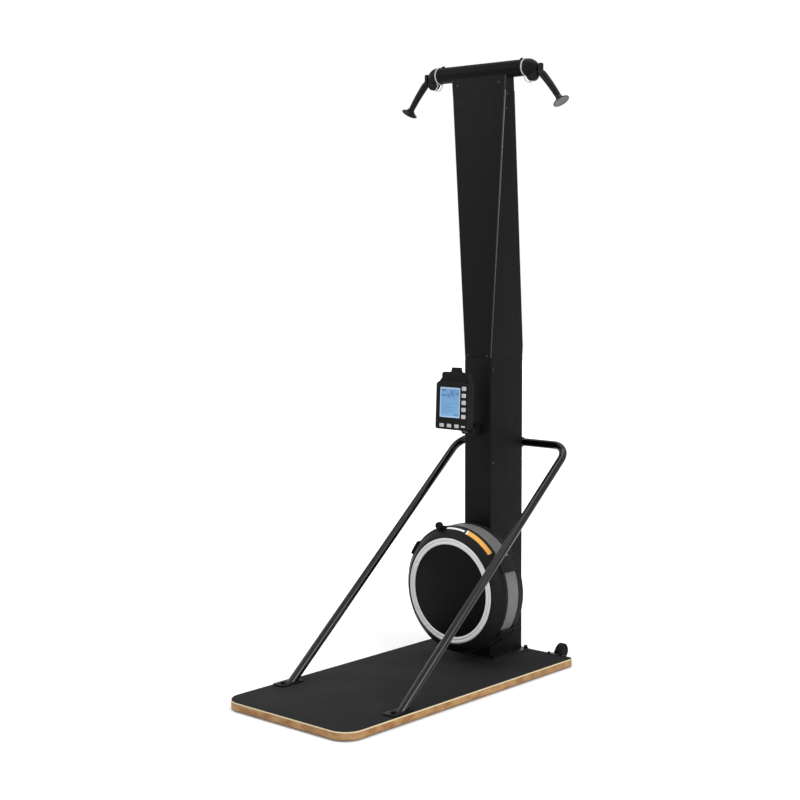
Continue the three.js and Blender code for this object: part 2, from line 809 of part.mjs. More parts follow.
// Handle: an upright head that rests on the dome, a bowed shaft and a trumpet bell
const headX = headStart + headOffset;
const headLevel = barLevel - headDrop;
const head = through(roundedRect(headWidth, headHeight, headCorner, headX, headLevel),
  barY - headThickness / 2, barY + headThickness / 2, headBevel, 2);
const shaftDirection = new THREE.Vector3(Math.cos(shaftAngle), 0, -Math.sin(shaftAngle));
const shaftSide = new THREE.Vector3(Math.sin(shaftAngle), 0, Math.cos(shaftAngle));
const shaftStart = new THREE.Vector3(headX, barY, barLevel - shaftStartDrop);
function shaftSections() {
  const points = [];
  const radii = [];
  const gripLength = shaftLength - bellLength;
  const gripSteps = 3;
  const bellSteps = 4;
  const place = (along, radius) => {
    const bow = shaftBow * Math.sin((along / shaftLength) * Math.PI);
    points.push(shaftStart.clone().addScaledVector(shaftDirection, along).addScaledVector(shaftSide, bow));
    radii.push(radius);
  };
  place(0, shaftRootRadius);
  for (let i = 0; i < gripSteps; i += 1) {
    const t = i / gripSteps;
    const radius = THREE.MathUtils.lerp(shaftTopRadius, shaftWaistRadius, t);
    place(THREE.MathUtils.lerp(shaftSwellLength, gripLength, t), radius);
  }
  for (let i = 0; i <= bellSteps; i += 1) {
    const t = i / bellSteps;
    const radius = THREE.MathUtils.lerp(shaftWaistRadius, bellRadius, t ** bellFlarePower);
    place(gripLength + (bellLength - bellLip) * t, radius);
  }
  place(shaftLength, bellRadius);
  return { points, radii };
}
const { points: shaftPoints, radii: shaftRadii } = shaftSections();
const shaft = solid(sweep(shaftPoints, shaftRadii, shaftSides));
const shaftEnd = shaftStart.clone().addScaledVector(shaftDirection, shaftLength);
const dishSphere = (bellRadius ** 2 + bellDish ** 2) / (2 * bellDish);
const dishCentre = shaftEnd.clone().addScaledVector(shaftDirection, dishSphere - bellDish);
const dishProfile = [[0, 0]];
const dishSteps = 2;
for (let i = 1; i <= dishSteps; i += 1) {
  const r = (bellRadius - bellLip) * (i / dishSteps);
  dishProfile.push([r, dishSphere - Math.sqrt(dishSphere ** 2 - r ** 2)]);
}
dishProfile.push([bellRadius - bellLip, dishSphere], [0, dishSphere]);
const dishCut = turnedZ(dishProfile, shaftSides)
  .rotateY(Math.PI / 2 + shaftAngle)
  .translate(dishCentre.x - dishSphere * shaftDirection.x, dishCentre.y,
    dishCentre.z - dishSphere * shaftDirection.z);
const pocketEntry = exitPoint.clone()
  .addScaledVector(pullDirection, (headX - headWidth / 2 - exitPoint.x) / pullDirection.x);
const pocketEnd = pocketEntry.clone().addScaledVector(pullDirection, cordPocketDepth);
const pocketOpen = pocketEntry.clone().addScaledVector(pullDirection, -cutOverrun);
const cordPocket = sweep([pocketOpen, pocketEnd], cordPocketRadius, 8);
const handle = join(solid(head), shaft.subtract(solid(dishCut))).subtract(solid(cordPocket));
putPair('handle', handle, 'plastic');

// Cords: from the spools up the column, over the idlers and out along the bar to the heads
const firstSpoolY = columnFront + spoolFirstOffset;
const spoolWidth = 3 * spoolFlangeWidth + spoolCordWidth + spoolReturnWidth;
const secondSpoolY = firstSpoolY + spoolWidth + spoolSpacing;
const leftCordY = firstSpoolY + spoolFlangeWidth + spoolCordWidth / 2;
const leftReturnY = leftCordY + spoolCordWidth / 2 + spoolFlangeWidth + spoolReturnWidth / 2;
const rightReturnY = secondSpoolY + spoolFlangeWidth + spoolReturnWidth / 2;
const rightCordY = rightReturnY + spoolReturnWidth / 2 + spoolFlangeWidth + spoolCordWidth / 2;

function driveCord(side, y) {
  const out = alongX.clone().multiplyScalar(side);
  const spoolCentre = new THREE.Vector3(0, y, drumLevel);
  const wrap = arc(spoolCentre, out, alongZ, spoolCordLine, -Math.PI, 0, cordWrapSteps);
  const idlerCentre = new THREE.Vector3(side * idlerX, barY, idlerLevel);
  const bend = arc(idlerCentre, out, alongZ, idlerRadius, Math.PI, Math.PI / 2, cordWrapSteps / 2);
  const end = new THREE.Vector3(side * (spigotStart - fitGap), barY, barLevel);
  return sweep([...wrap, ...bend, end], cordRadius, 8);
}
put('drive_cord_right', driveCord(1, rightCordY), 'cord');
put('drive_cord_left', driveCord(-1, leftCordY), 'cord');

const headCordStart = new THREE.Vector3(spigotStart, barY, barLevel);
const pulleyCentre = new THREE.Vector3(pulleyX, barY, pulleyLevel);
const headCordBend = arc(pulleyCentre, alongX, alongZ, pulleyRadius, Math.PI / 2, Math.PI / 2 - pullAngle, 6);
const headCordEnd = pocketEnd.clone().addScaledVector(pullDirection, -fitGap);
putPair('cord_end', sweep([headCordStart, ...headCordBend, headCordEnd], cordRadius, 8), 'cord');

const returnTop = new THREE.Vector3(0, barY, returnPulleyLevel);
const leftHub = new THREE.Vector3(0, leftReturnY, drumLevel);
const rightHub = new THREE.Vector3(0, rightReturnY, drumLevel);
put('return_cord', sweep([
  ...arc(leftHub, alongX, alongZ, returnCordLine, -Math.PI, 0, cordWrapSteps),
  ...arc(returnTop, alongX, alongZ, returnCordLine, 0, Math.PI, cordWrapSteps),
  ...arc(rightHub, alongX, alongZ, returnCordLine, Math.PI, 2 * Math.PI, cordWrapSteps)],
returnCordRadius, 8), 'cord');

// Spools: a groove for the drive cord beside one for the return cord
function spoolProfile(start, cordFirst) {
  const bore = axleRadius + turnGap;
  const cordFloor = grooveFloor(spoolCordLine, cordRadius);
  const returnFloor = grooveFloor(returnCordLine, returnCordRadius);
  const bands = cordFirst
    ? [[cordFloor, spoolCordWidth], [returnFloor, spoolReturnWidth]]
    : [[returnFloor, spoolReturnWidth], [cordFloor, spoolCordWidth]];
  const points = [[bore, start]];
  let y = start;
  for (const [floor, width] of bands) {
    points.push([spoolFlangeRadius, y], [spoolFlangeRadius, y + spoolFlangeWidth]);
    y += spoolFlangeWidth;
    points.push([floor, y], [floor, y + width]);
    y += width;
  }
  points.push([spoolFlangeRadius, y], [spoolFlangeRadius, y + spoolFlangeWidth]);
  points.push([bore, y + spoolFlangeWidth], [bore, start]);
  return points;
}
const spools = [['spool_left', firstSpoolY, true], ['spool_right', secondSpoolY, false]];
for (const [name, start, cordFirst] of spools) {
  put(name, turnedY(spoolProfile(start, cordFirst), roundSides).translate(0, 0, drumLevel), 'plastic');
}

// Axle and the flanged bearing that carries it in the column
const axleFront = ahead(drumReach - coverCentreRecess - drumWall - axleEndGap);
const axleProfile = roundedRodProfile(axleRadius, axleFront, columnFront + axleTail, axleEndGap, 1);
put('axle', turnedY(axleProfile, smallSides).translate(0, 0, drumLevel), 'steel');
const flangeStart = columnFront + columnWall + fitGap;
const bearingInner = axleRadius + turnGap;
put('axle_bearing', turnedY([[bearingInner, columnFront], [bearingRadius, columnFront],
  [bearingRadius, flangeStart], [bearingFlangeRadius, flangeStart],
  [bearingFlangeRadius, flangeStart + bearingFlange], [bearingInner, flangeStart + bearingFlange],
  [bearingInner, columnFront]], roundSides).translate(0, 0, drumLevel), 'steel');

// Flywheel: hub, web, rim and swept blades
const webRear = ahead(wheelRearOffset);
const webFront = webRear - flywheelWeb;
const bladeFront = webRear - flywheelDepth;
let flywheel = join(
  solid(turnedY(ringProfile(bearingInner, flywheelHubRadius, bladeFront, webRear), roundSides)),
  solid(turnedY(ringProfile(bearingInner, flywheelRadius, webFront, webRear), drumSides)),
  solid(turnedY(ringProfile(flywheelRadius - flywheelRim, flywheelRadius, bladeFront, webRear), drumSides)));
function bladeShape(turn) {
  const outer = flywheelRadius - flywheelRim / 2;
  const sweepAngle = THREE.MathUtils.degToRad(bladeSweepDeg);
  const edge = (offset) => Array.from({ length: bladeSteps + 1 }, (_, i) => {
    const t = i / bladeSteps;
    const r = THREE.MathUtils.lerp(bladeInnerRadius, outer, t);
    const a = turn + sweepAngle * t * t + offset / r;
    return [r * Math.cos(a), r * Math.sin(a)];
  });
  return polygon([...edge(-bladeThickness / 2), ...edge(bladeThickness / 2).reverse()]);
}
for (let i = 0; i < bladeCount; i += 1) {
  const shape = bladeShape((i / bladeCount) * 2 * Math.PI);
  flywheel = flywheel.add(solid(through(shape, bladeFront + fitGap, webFront + flywheelWeb / 2)));
}
put('flywheel', surface(flywheel).translate(0, 0, drumLevel), 'aluminium');

// Drum: rear cup on the column with four lugs, perforated band, front cover
const shellProfile = [
  [bearingFlangeRadius, ahead(fitGap)],
  [rearShellRadius - rearShellChamfer, ahead(fitGap)],
  [rearShellRadius, ahead(rearShellChamfer)],
  [rearShellRadius, ahead(rearShellDepth - drumWall - rearShellBead)],
  [rearShellRadius + rearShellBead, ahead(rearShellDepth - drumWall)],
  [rearShellRadius + rearShellBead, ahead(rearShellDepth)],
  [rearShellRadius - drumWall, ahead(rearShellDepth)],
  [rearShellRadius - drumWall, ahead(rearShellChamfer + drumWall)],
  [rearShellRadius - rearShellChamfer - drumWall, ahead(fitGap + drumWall)],
  [bearingFlangeRadius, ahead(fitGap + drumWall)],
  [bearingFlangeRadius, ahead(fitGap)],
];
let rearShell = solid(turnedY(shellProfile, drumSides));
const lugKinds = [
  [upperLugAnglesDeg, upperLugWidth, upperLugEnd],
  [lowerLugAnglesDeg, lowerLugWidth, lowerLugEnd],
];
for (const [angles, width, end] of lugKinds) {
  const halfArcDeg = THREE.MathUtils.radToDeg(width / 2 / lugOuterRadius);
  for (const angle of angles) {
    const [from, to] = [angle - halfArcDeg, angle + halfArcDeg];
    const base = annularSector(rearShellRadius - lugOverlap, lugOuterRadius, from, to);
    const arm = annularSector(drumRadius + lugClearance, lugOuterRadius, from, to);
    rearShell = rearShell.add(solid(through(base, ahead(lugBaseEnd), ahead(lugStart), 0, 2)))
      .add(solid(through(arm, ahead(end), ahead(lugBaseEnd - lugOverlap), 0, 2)));
  }
}
put('drum_rear_shell', surface(rearShell).translate(0, 0, drumLevel), 'plastic');

const meshStart = rearShellDepth + fitGap;
const meshEnd = rearShellDepth + meshDepth - fitGap;
const meshProfile = ringProfile(meshRadius - meshSheet, meshRadius, ahead(meshEnd), ahead(meshStart));
put('mesh_band', turnedY(meshProfile, drumSides).translate(0, 0, drumLevel), 'mesh');

const coverRear = rearShellDepth + meshDepth;
const bevelLength = Math.hypot(drumBevelRise, drumBevelDepth);
const [bevelOut, bevelBack] = [drumBevelRise / bevelLength, drumBevelDepth / bevelLength];
const onBevel = (along, height) => [drumFaceRadius + along * bevelOut + height * bevelBack,
  ahead(drumReach - along * bevelBack + height * bevelOut)];
const scaleRear = scaleInset + scaleWidth;
const trimFloor = drumReach + trimProud - trimThickness - fitGap;
const coverInside = drumReach - coverCentreRecess - drumWall;
const coverProfile = [
  [0, ahead(drumReach - coverCentreRecess)],
  [trimInnerRadius - fitGap, ahead(drumReach - coverCentreRecess)],
  [trimInnerRadius - fitGap, ahead(trimFloor)],
  [trimOuterRadius + fitGap, ahead(trimFloor)],
  [trimOuterRadius + fitGap, ahead(drumReach)],
  [drumFaceRadius, ahead(drumReach)],
  onBevel(scaleInset, 0),
  onBevel(scaleInset, -scaleRecess),
  onBevel(scaleRear, -scaleRecess),
  onBevel(scaleRear, 0),
  [drumRadius, ahead(drumReach - drumBevelDepth)],
  [drumRadius, ahead(coverRear)],
  [drumRadius - drumWall, ahead(coverRear)],
  [drumRadius - drumWall, ahead(drumReach - drumBevelDepth - drumWall)],
  [trimOuterRadius, ahead(trimFloor - drumWall)],
  [axleBossRadius, ahead(coverInside)],
  [axleBossRadius, ahead(coverInside - axleBossLength)],
  [bearingInner, ahead(coverInside - axleBossLength)],
  [bearingInner, ahead(coverInside)],
  [0, ahead(coverInside)],
];
put('drum_front_cover', turnedY(coverProfile, drumSides).translate(0, 0, drumLevel), 'plastic');
const trimFront = drumReach + trimProud;
put('trim_ring', turnedY([
  [trimInnerRadius, ahead(trimFront - trimThickness)],
  [trimOuterRadius, ahead(trimFront - trimThickness)],
  [trimOuterRadius, ahead(trimFront - trimProud)],
  [trimOuterRadius - trimProud, ahead(trimFront)],
  [trimInnerRadius, ahead(trimFront)],
  [trimInnerRadius, ahead(trimFront - trimThickness)]], drumSides).translate(0, 0, drumLevel), 'trim');

// Damper: a scale strip sunk in the bevel and a lever whose shoe slides over it
function bevelPiece(low, high, from, to, sides, startDeg, endDeg) {
  const corners = [[from, low], [to, low], [to, high], [from, high], [from, low]];
  const ring = turnedY(corners.map(([along, height]) => onBevel(along, height)), sides);
  const sector = annularSector(drumFaceRadius, lugOuterRadius, startDeg, endDeg);
  return solid(ring).intersect(solid(through(sector, ahead(2 * drumReach), ahead(0), 0, 9)));
}
const scaleLow = fitGap - scaleRecess;
const scaleStrip = bevelPiece(scaleLow, scaleLow + scaleSheet, scaleInset + fitGap, scaleRear - fitGap,
  drumSides, scaleStartDeg, scaleEndDeg);
put('damper_scale', surface(scaleStrip).translate(0, 0, drumLevel), 'scale');

const shoe = bevelPiece(fitGap, fitGap + leverShoeHeight, scaleInset, scaleRear, fineSides,
  leverAngleDeg - leverShoeArcDeg / 2, leverAngleDeg + leverShoeArcDeg / 2);
const knobMiddle = ahead(drumReach - knobSetback);
const knobRear = knobMiddle + knobThickness / 2;
const stalkShape = rectangle(knobCentreRadius - knobStalkFloor, knobStalkWidth,
  (knobCentreRadius + knobStalkFloor) / 2, 0);
const knobProfile = roundedRodProfile(knobRadius, knobMiddle - knobThickness / 2, knobRear, knobBevel, 1);
const knob = turnedY(knobProfile, roundSides).translate(knobCentreRadius, 0, 0);
const leverTurn = -THREE.MathUtils.degToRad(leverAngleDeg);
const leverTop = join(solid(through(stalkShape, knobMiddle, knobMiddle + knobStalkDepth)), solid(knob));
const lever = join(solid(surface(leverTop).rotateY(leverTurn)), shoe);
put('damper_lever', surface(lever).translate(0, 0, drumLevel), 'plastic');

// Support frame: one bent tube behind the column with a plate under each leg
const supportHalfWidth = platformWidth / 2 - supportEdgeDistance;
const supportFootY = platformFront + supportFootDistance;
const supportCrossY = columnRear + supportCrossSetback;
const plateTop = deckTop + supportPlateThickness;
const corner = new THREE.Vector3(supportHalfWidth, supportCrossY, supportCrossLevel);
const legFoot = new THREE.Vector3(supportHalfWidth, supportFootY, deckTop);
const legDirection = new THREE.Vector3().subVectors(corner, legFoot).normalize();
const bendCentre = corner.clone().addScaledVector(legDirection, -supportBendRadius)
  .addScaledVector(alongX, -supportBendRadius);
const rightSide = [
  legFoot.clone().addScaledVector(legDirection, -2 * supportTubeRadius),
  ...arc(bendCentre, alongX, legDirection, supportBendRadius, 0, Math.PI / 2, 7),
];
const leftSide = rightSide.map((p) => new THREE.Vector3(-p.x, p.y, p.z)).reverse();
let supportFrame = solid(sweep([...rightSide, ...leftSide], supportTubeRadius, roundSides));
supportFrame = supportFrame.trimByPlane([0, 0, 1], deckTop + supportPlateThickness / 2);
const plateMiddle = platformFront + supportPlateFrontDistance + supportPlateLength / 2;
for (const x of [-supportHalfWidth, supportHalfWidth]) {
  const plateShape = roundedRect(supportPlateWidth, supportPlateLength, supportPlateCorner, x, plateMiddle);
  const plate = upright(plateShape, deckTop, plateTop, 0, 2);
  const bolt = hexHead(supportBoltRadius, plateTop - supportPlateThickness / 2, plateTop + supportBoltHeight)
    .translate(x, platformFront + supportBoltDistance, 0);
  supportFrame = join(supportFrame, solid(plate), solid(bolt));
}
put('support_frame', supportFrame, 'column');

const clampStart = columnRear + fitGap;
const clampBase = across(roundedRect(clampBaseThickness, clampBaseHeight, fitGap,
  clampStart + clampBaseThickness / 2, supportCrossLevel), -clampWidth / 2, clampWidth / 2, 0, 1);
const clampBlock = across(roundedRect(supportCrossY - clampStart, clampBlockHeight, fitGap,
  (supportCrossY + clampStart) / 2, supportCrossLevel), -clampWidth / 2, clampWidth / 2, 0, 1);
const clampRingProfile = rodProfile(supportTubeRadius + clampStrap, -clampWidth / 2, clampWidth / 2);
const clampRing = turnedX(clampRingProfile, roundSides).translate(0, supportCrossY, supportCrossLevel);
const clampBore = turnedX(rodProfile(supportTubeRadius + fitGap, -clampWidth, clampWidth), wideSides)
  .translate(0, supportCrossY, supportCrossLevel);
put('support_clamp', join(solid(clampBase), solid(clampBlock), solid(clampRing)).subtract(solid(clampBore)),
  'column');

// Monitor mount: a cover plate on the column and a forked bracket with the tilt pin and knob
const plateRear = ahead(fitGap);
const plateFront = plateRear - plateSheet;
const plateHigh = seamLevel - plateTopGap;
put('monitor_plate', through(roundedRect(plateWidth, plateHigh - plateLowLevel, plateCorner,
  0, (plateHigh + plateLowLevel) / 2), plateFront, plateRear, 0, 2), 'plastic');
const mountRear = plateFront - fitGap;
const mountFront = mountRear - bracketEarSheet;
const pivotY = ahead(pivotReach);
const mountBase = through(roundedRect(mountBaseWidth, mountBaseHeight, plateCorner, 0, pivotLevel),
  mountFront, mountRear, 0, 2);
const earShape = new THREE.Shape();
earShape.absarc(pivotY, pivotLevel, mountEarRadius, Math.PI / 2, 1.5 * Math.PI);
earShape.lineTo(mountRear - bracketEarSheet / 2, pivotLevel - mountBaseHeight / 2 + plateCorner);
earShape.lineTo(mountRear - bracketEarSheet / 2, pivotLevel + mountBaseHeight / 2 - plateCorner);
earShape.closePath();
const earInner = armWidth / 2 + fitGap;
const earOuter = earInner + bracketEarSheet;
const tiltPin = turnedX(rodProfile(pivotPinRadius, -earOuter, earOuter), pinSides)
  .translate(0, pivotY, pivotLevel);
const tiltKnob = turnedX(roundedRodProfile(tiltKnobRadius, earOuter - bracketEarSheet / 2,
  earOuter + tiltKnobLength, buttonCorner, 1), pinSides).translate(0, pivotY, pivotLevel);
put('monitor_bracket', join(solid(mountBase),
  solid(across(earShape, earInner, earOuter, 0, 6)), solid(across(earShape, -earOuter, -earInner, 0, 6)),
  solid(tiltPin), solid(tiltKnob)), 'plastic');

// Everything on the tilting arm is laid out upright and then leans back about the tilt pin
function leaning(geometry) {
  return geometry.translate(0, -pivotY, -pivotLevel).rotateX(monitorTilt).translate(0, pivotY, pivotLevel);
}
const caseFront = ahead(monitorReach);
const caseMiddle = caseFront + monitorFrontDepth;
const caseRear = caseMiddle + monitorRearDepth;
const flangeRear = caseRear + fitGap + armFlangeThickness;
const armFlangeLevel = pivotLevel + armFlangeLift;
const armEye = across(new THREE.Shape().absarc(pivotY, pivotLevel, armRadius, 0, 2 * Math.PI),
  -armWidth / 2, armWidth / 2, 0, 10);
const armReachShape = polygon([
  [pivotY, pivotLevel - armRadius], [pivotY, pivotLevel + armRadius],
  [flangeRear - armFlangeThickness / 2, armFlangeLevel + armRadius],
  [flangeRear - armFlangeThickness / 2, armFlangeLevel - armFlangeHeight / 2 + plateCorner]]);
const armBore = turnedX(rodProfile(pivotPinRadius + turnGap, -armWidth, armWidth), pinSides)
  .translate(0, pivotY, pivotLevel);
const armFlange = through(roundedRect(armFlangeWidth, armFlangeHeight, plateCorner, 0, armFlangeLevel),
  flangeRear - armFlangeThickness, flangeRear, 0, 1);
const arm = join(solid(armEye), solid(across(armReachShape, -armWidth / 2, armWidth / 2)), solid(armFlange))
  .subtract(solid(armBore));
put('monitor_arm', leaning(surface(arm)), 'plastic');

const caseBase = monitorLevel - monitorHeight / 2;
const caseHigh = monitorLevel + monitorHeight / 2;
const frontSlab = through(roundedRect(monitorWidth, monitorHeight, monitorCorner, 0, monitorLevel),
  caseFront, caseMiddle, monitorBevel, 4);
function hoodOutline() {
  const [w, s] = [shoulderWidth / 2, monitorCorner];
  const shoulder = caseHigh + shoulderRise;
  const bump = shoulder + hoodBumpRise;
  const shape = new THREE.Shape();
  shape.moveTo(-monitorWidth / 2 + s, caseBase + monitorBevel);
  shape.lineTo(monitorWidth / 2 - s, caseBase + monitorBevel);
  shape.lineTo(monitorWidth / 2 - monitorBevel, caseBase + s);
  shape.lineTo(monitorWidth / 2 - monitorBevel, caseHigh - s);
  shape.quadraticCurveTo(monitorWidth / 2 - monitorBevel, caseHigh, w, caseHigh + shoulderStep);
  shape.lineTo(w, shoulder - shoulderRound);
  shape.quadraticCurveTo(w, shoulder, w - shoulderRound, shoulder);
  shape.lineTo(hoodBumpWidth / 2, shoulder);
  shape.quadraticCurveTo(hoodBumpTopWidth / 2, shoulder, hoodBumpTopWidth / 2, bump);
  shape.lineTo(-hoodBumpTopWidth / 2, bump);
  shape.quadraticCurveTo(-hoodBumpTopWidth / 2, shoulder, -hoodBumpWidth / 2, shoulder);
  shape.lineTo(-w + shoulderRound, shoulder);
  shape.quadraticCurveTo(-w, shoulder, -w, shoulder - shoulderRound);
  shape.lineTo(-w, caseHigh + shoulderStep);
  shape.quadraticCurveTo(-monitorWidth / 2 + monitorBevel, caseHigh,
    -monitorWidth / 2 + monitorBevel, caseHigh - s);
  shape.lineTo(-monitorWidth / 2 + monitorBevel, caseBase + s);
  shape.closePath();
  return shape;
}
const hood = through(hoodOutline(), caseMiddle - monitorBevel, caseRear, 0, 3);
let monitorCase = join(solid(frontSlab), solid(hood));
const screenZ = monitorLevel + screenOffsetZ;
const screenFront = caseFront + screenRecess;
const screenRear = screenFront + screenThickness;
const screenPocketShape = roundedRect(screenWidth + 2 * fitGap, screenHeight + 2 * fitGap, buttonCorner,
  screenOffsetX, screenZ);
monitorCase = monitorCase.subtract(solid(through(screenPocketShape, caseFront - cutOverrun,
  screenRear + fitGap, 0, 1)));

const buttons = [];
for (let i = 0; i < sideButtonCount; i += 1) {
  const z = monitorLevel + sideButtonTop - sideButtonPitch * i;
  buttons.push({ name: `button_side_${i + 1}`, x: sideButtonColumn, z,
    width: sideButtonWidth, height: sideButtonHeight });
}
for (let i = 0; i < baseButtonCount; i += 1) {
  buttons.push({ name: `button_base_${i + 1}`, x: baseButtonStart + baseButtonPitch * i,
    z: monitorLevel - baseButtonRow, width: baseButtonWidth, height: baseButtonHeight });
}
buttons.push({ name: 'button_slim', x: sideButtonColumn, z: monitorLevel - baseButtonRow,
  width: sideButtonWidth, height: slimButtonHeight });
const buttonFront = caseFront - buttonProud;
const buttonRear = buttonFront + buttonProud + buttonDepth;
for (const b of buttons) {
  const pocket = through(rectangle(b.width + 2 * fitGap, b.height + 2 * fitGap, b.x, b.z),
    caseFront - cutOverrun, buttonRear + buttonTravel + fitGap);
  monitorCase = monitorCase.subtract(solid(pocket));
}
put('monitor_case', leaning(surface(monitorCase)), 'plastic');
const screenShape = roundedRect(screenWidth, screenHeight, buttonCorner, screenOffsetX, screenZ);
put('monitor_screen', leaning(through(screenShape, screenFront, screenRear, 0, 1)), 'screen');
for (const b of buttons) {
  const round = Math.min(buttonCorner, b.height / 2 - fitGap);
  put(b.name, leaning(through(roundedRect(b.width, b.height, round, b.x, b.z),
    buttonFront, buttonRear, buttonBevel, 1)), 'button');
}

// Transport wheels and their forks on the rear edge of the board
const wheelX = platformWidth / 2 - wheelEdgeDistance;
const wheelY = platformRear + wheelSetback;
const wheelZ = wheelFloorGap + wheelRadius;
const half = wheelWidth / 2;
const wheelBore = wheelPinRadius + turnGap;
putPair('transport_wheel', turnedX([
  [wheelBore, -half], [wheelHubRadius, -half], [wheelRimInner, -half + wheelDish],
  [wheelRimInner, -half], [wheelRadius - wheelEdgeRound, -half],
  [wheelRadius, -half + wheelEdgeRound], [wheelRadius, half - wheelEdgeRound],
  [wheelRadius - wheelEdgeRound, half], [wheelRimInner, half], [wheelRimInner, half - wheelDish],
  [wheelHubRadius, half], [wheelBore, half], [wheelBore, -half],
], roundSides).translate(wheelX, wheelY, wheelZ), 'rubber');

const forkStart = platformRear + fitGap;
const forkMiddle = boardLow + boardThickness / 2;
const forkBase = through(roundedRect(bracketBaseWidth, bracketBaseHeight, bracketSheet, wheelX, forkMiddle),
  forkStart, forkStart + bracketSheet, 0, 1);
const forkEarShape = new THREE.Shape();
forkEarShape.absarc(wheelY, wheelZ, bracketEarRadius, -Math.PI / 4, Math.PI / 2);
forkEarShape.lineTo(forkStart + bracketSheet / 2, forkMiddle + bracketBaseHeight / 2);
forkEarShape.lineTo(forkStart + bracketSheet / 2, forkMiddle - bracketBaseHeight / 2 + bracketSheet);
forkEarShape.closePath();
const forkInner = half + fitGap;
const forkOuter = forkInner + bracketSheet;
const forkPin = turnedX(rodProfile(wheelPinRadius, -forkOuter, forkOuter), pinSides)
  .translate(wheelX, wheelY, wheelZ);
let fork = join(solid(forkBase), solid(forkPin),
  solid(across(forkEarShape, wheelX + forkInner, wheelX + forkOuter, 0, 4)),
  solid(across(forkEarShape, wheelX - forkOuter, wheelX - forkInner, 0, 4)));
const forkBoltX = (bracketBaseWidth / 2 + forkOuter) / 2;
for (const side of [-1, 1]) {
  const bolt = turnedY(rodProfile(bracketBoltRadius, forkStart + bracketSheet / 2,
    forkStart + bracketSheet + bracketBoltHeight), 6).translate(wheelX + side * forkBoltX, 0, forkMiddle);
  fork = fork.add(solid(bolt));
}
putPair('wheel_bracket', fork, 'steel');

export default group;
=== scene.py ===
import json
from math import cos, hypot, pi, radians, sin, sqrt

import bmesh
import bpy
from mathutils import Matrix, Vector

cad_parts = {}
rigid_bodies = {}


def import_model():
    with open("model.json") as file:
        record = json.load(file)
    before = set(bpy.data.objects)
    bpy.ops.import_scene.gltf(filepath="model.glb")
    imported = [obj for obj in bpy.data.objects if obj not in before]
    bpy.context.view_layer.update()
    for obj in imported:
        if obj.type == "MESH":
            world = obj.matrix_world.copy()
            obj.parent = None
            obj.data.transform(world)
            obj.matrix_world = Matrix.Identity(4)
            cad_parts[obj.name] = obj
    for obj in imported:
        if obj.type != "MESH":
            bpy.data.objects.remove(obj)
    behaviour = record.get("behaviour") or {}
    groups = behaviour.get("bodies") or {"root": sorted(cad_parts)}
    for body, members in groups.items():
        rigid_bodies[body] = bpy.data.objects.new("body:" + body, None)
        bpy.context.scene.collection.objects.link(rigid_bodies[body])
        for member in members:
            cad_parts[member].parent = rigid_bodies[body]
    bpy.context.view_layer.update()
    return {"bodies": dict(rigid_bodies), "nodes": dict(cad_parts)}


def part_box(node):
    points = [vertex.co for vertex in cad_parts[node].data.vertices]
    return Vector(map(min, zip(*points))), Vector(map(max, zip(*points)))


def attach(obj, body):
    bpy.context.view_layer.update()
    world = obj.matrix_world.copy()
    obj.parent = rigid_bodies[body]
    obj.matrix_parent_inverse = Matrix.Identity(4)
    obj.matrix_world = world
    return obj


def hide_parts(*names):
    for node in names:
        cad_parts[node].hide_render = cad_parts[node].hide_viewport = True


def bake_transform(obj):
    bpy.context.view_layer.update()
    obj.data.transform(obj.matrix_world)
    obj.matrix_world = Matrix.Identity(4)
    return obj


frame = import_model()
nodes = frame["nodes"]
scene = bpy.context.scene

X = Vector((1, 0, 0))
Y = Vector((0, 1, 0))
Z = Vector((0, 0, 1))
QUARTER = pi / 2
SIDES = (("right", 1), ("left", -1))


def shown(name, data):
    """A new object in the scene."""
    holder = bpy.data.objects.new(name, data)
    scene.collection.objects.link(holder)
    return holder


def box_of(node):
    """Lowest corner, highest corner and middle of a CAD node."""
    low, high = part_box(node)
    return low, high, (low + high) / 2


def make_camera():
    """Solved from the edges of the platform, column and crossbar in the photograph, with the focal length, the
    axis and the image in pixels and the sensor in millimetres."""
    place, azimuth, pitch = (3.4966, -3.9412, 1.5077), radians(41.391), radians(3.0)
    focal, axis, image, sensor = 1505.89, (417.12, 338.26), 800, 36
    data = bpy.data.cameras.new("camera")
    data.sensor_width = sensor
    data.lens = focal / image * sensor
    data.shift_x = (image / 2 - axis[0]) / image
    data.shift_y = (axis[1] - image / 2) / image
    camera = shown("camera", data)
    camera.location = place
    camera.rotation_euler = (QUARTER - pitch, 0, azimuth)
    scene.camera = camera


make_camera()


# Node materials
def srgb(r, g=None, b=None):
    """A colour written as the 0 to 255 values seen on a screen, as linear light."""
    values = (r, r if g is None else g, r if b is None else b)
    return tuple((v / 255 / 12.92) if v <= 10 else ((v / 255 + 0.055) / 1.055) ** 2.4 for v in values) + (1,)


def add_node(tree, kind, inputs=(), **settings):
    """A new shader node with its settings, and its inputs in order or by key."""
    node = tree.nodes.new("ShaderNode" + kind)
    for key, value in settings.items():
        setattr(node, key, value)
    for key, value in inputs.items() if isinstance(inputs, dict) else enumerate(inputs):
        if isinstance(value, bpy.types.NodeSocket):
            tree.links.new(value, node.inputs[key])
        else:
            node.inputs[key].default_value = value
    return node


def seen_directly(tree):
    """1 for the camera and for what metal and glass mirror, 0 for the light on the object."""
    path = add_node(tree, "LightPath").outputs
    total = path["Is Camera Ray"]
    for key in ("Is Glossy Ray", "Is Transmission Ray"):
        total = add_node(tree, "Math", (total, path[key]), operation="MAXIMUM").outputs[0]
    return total


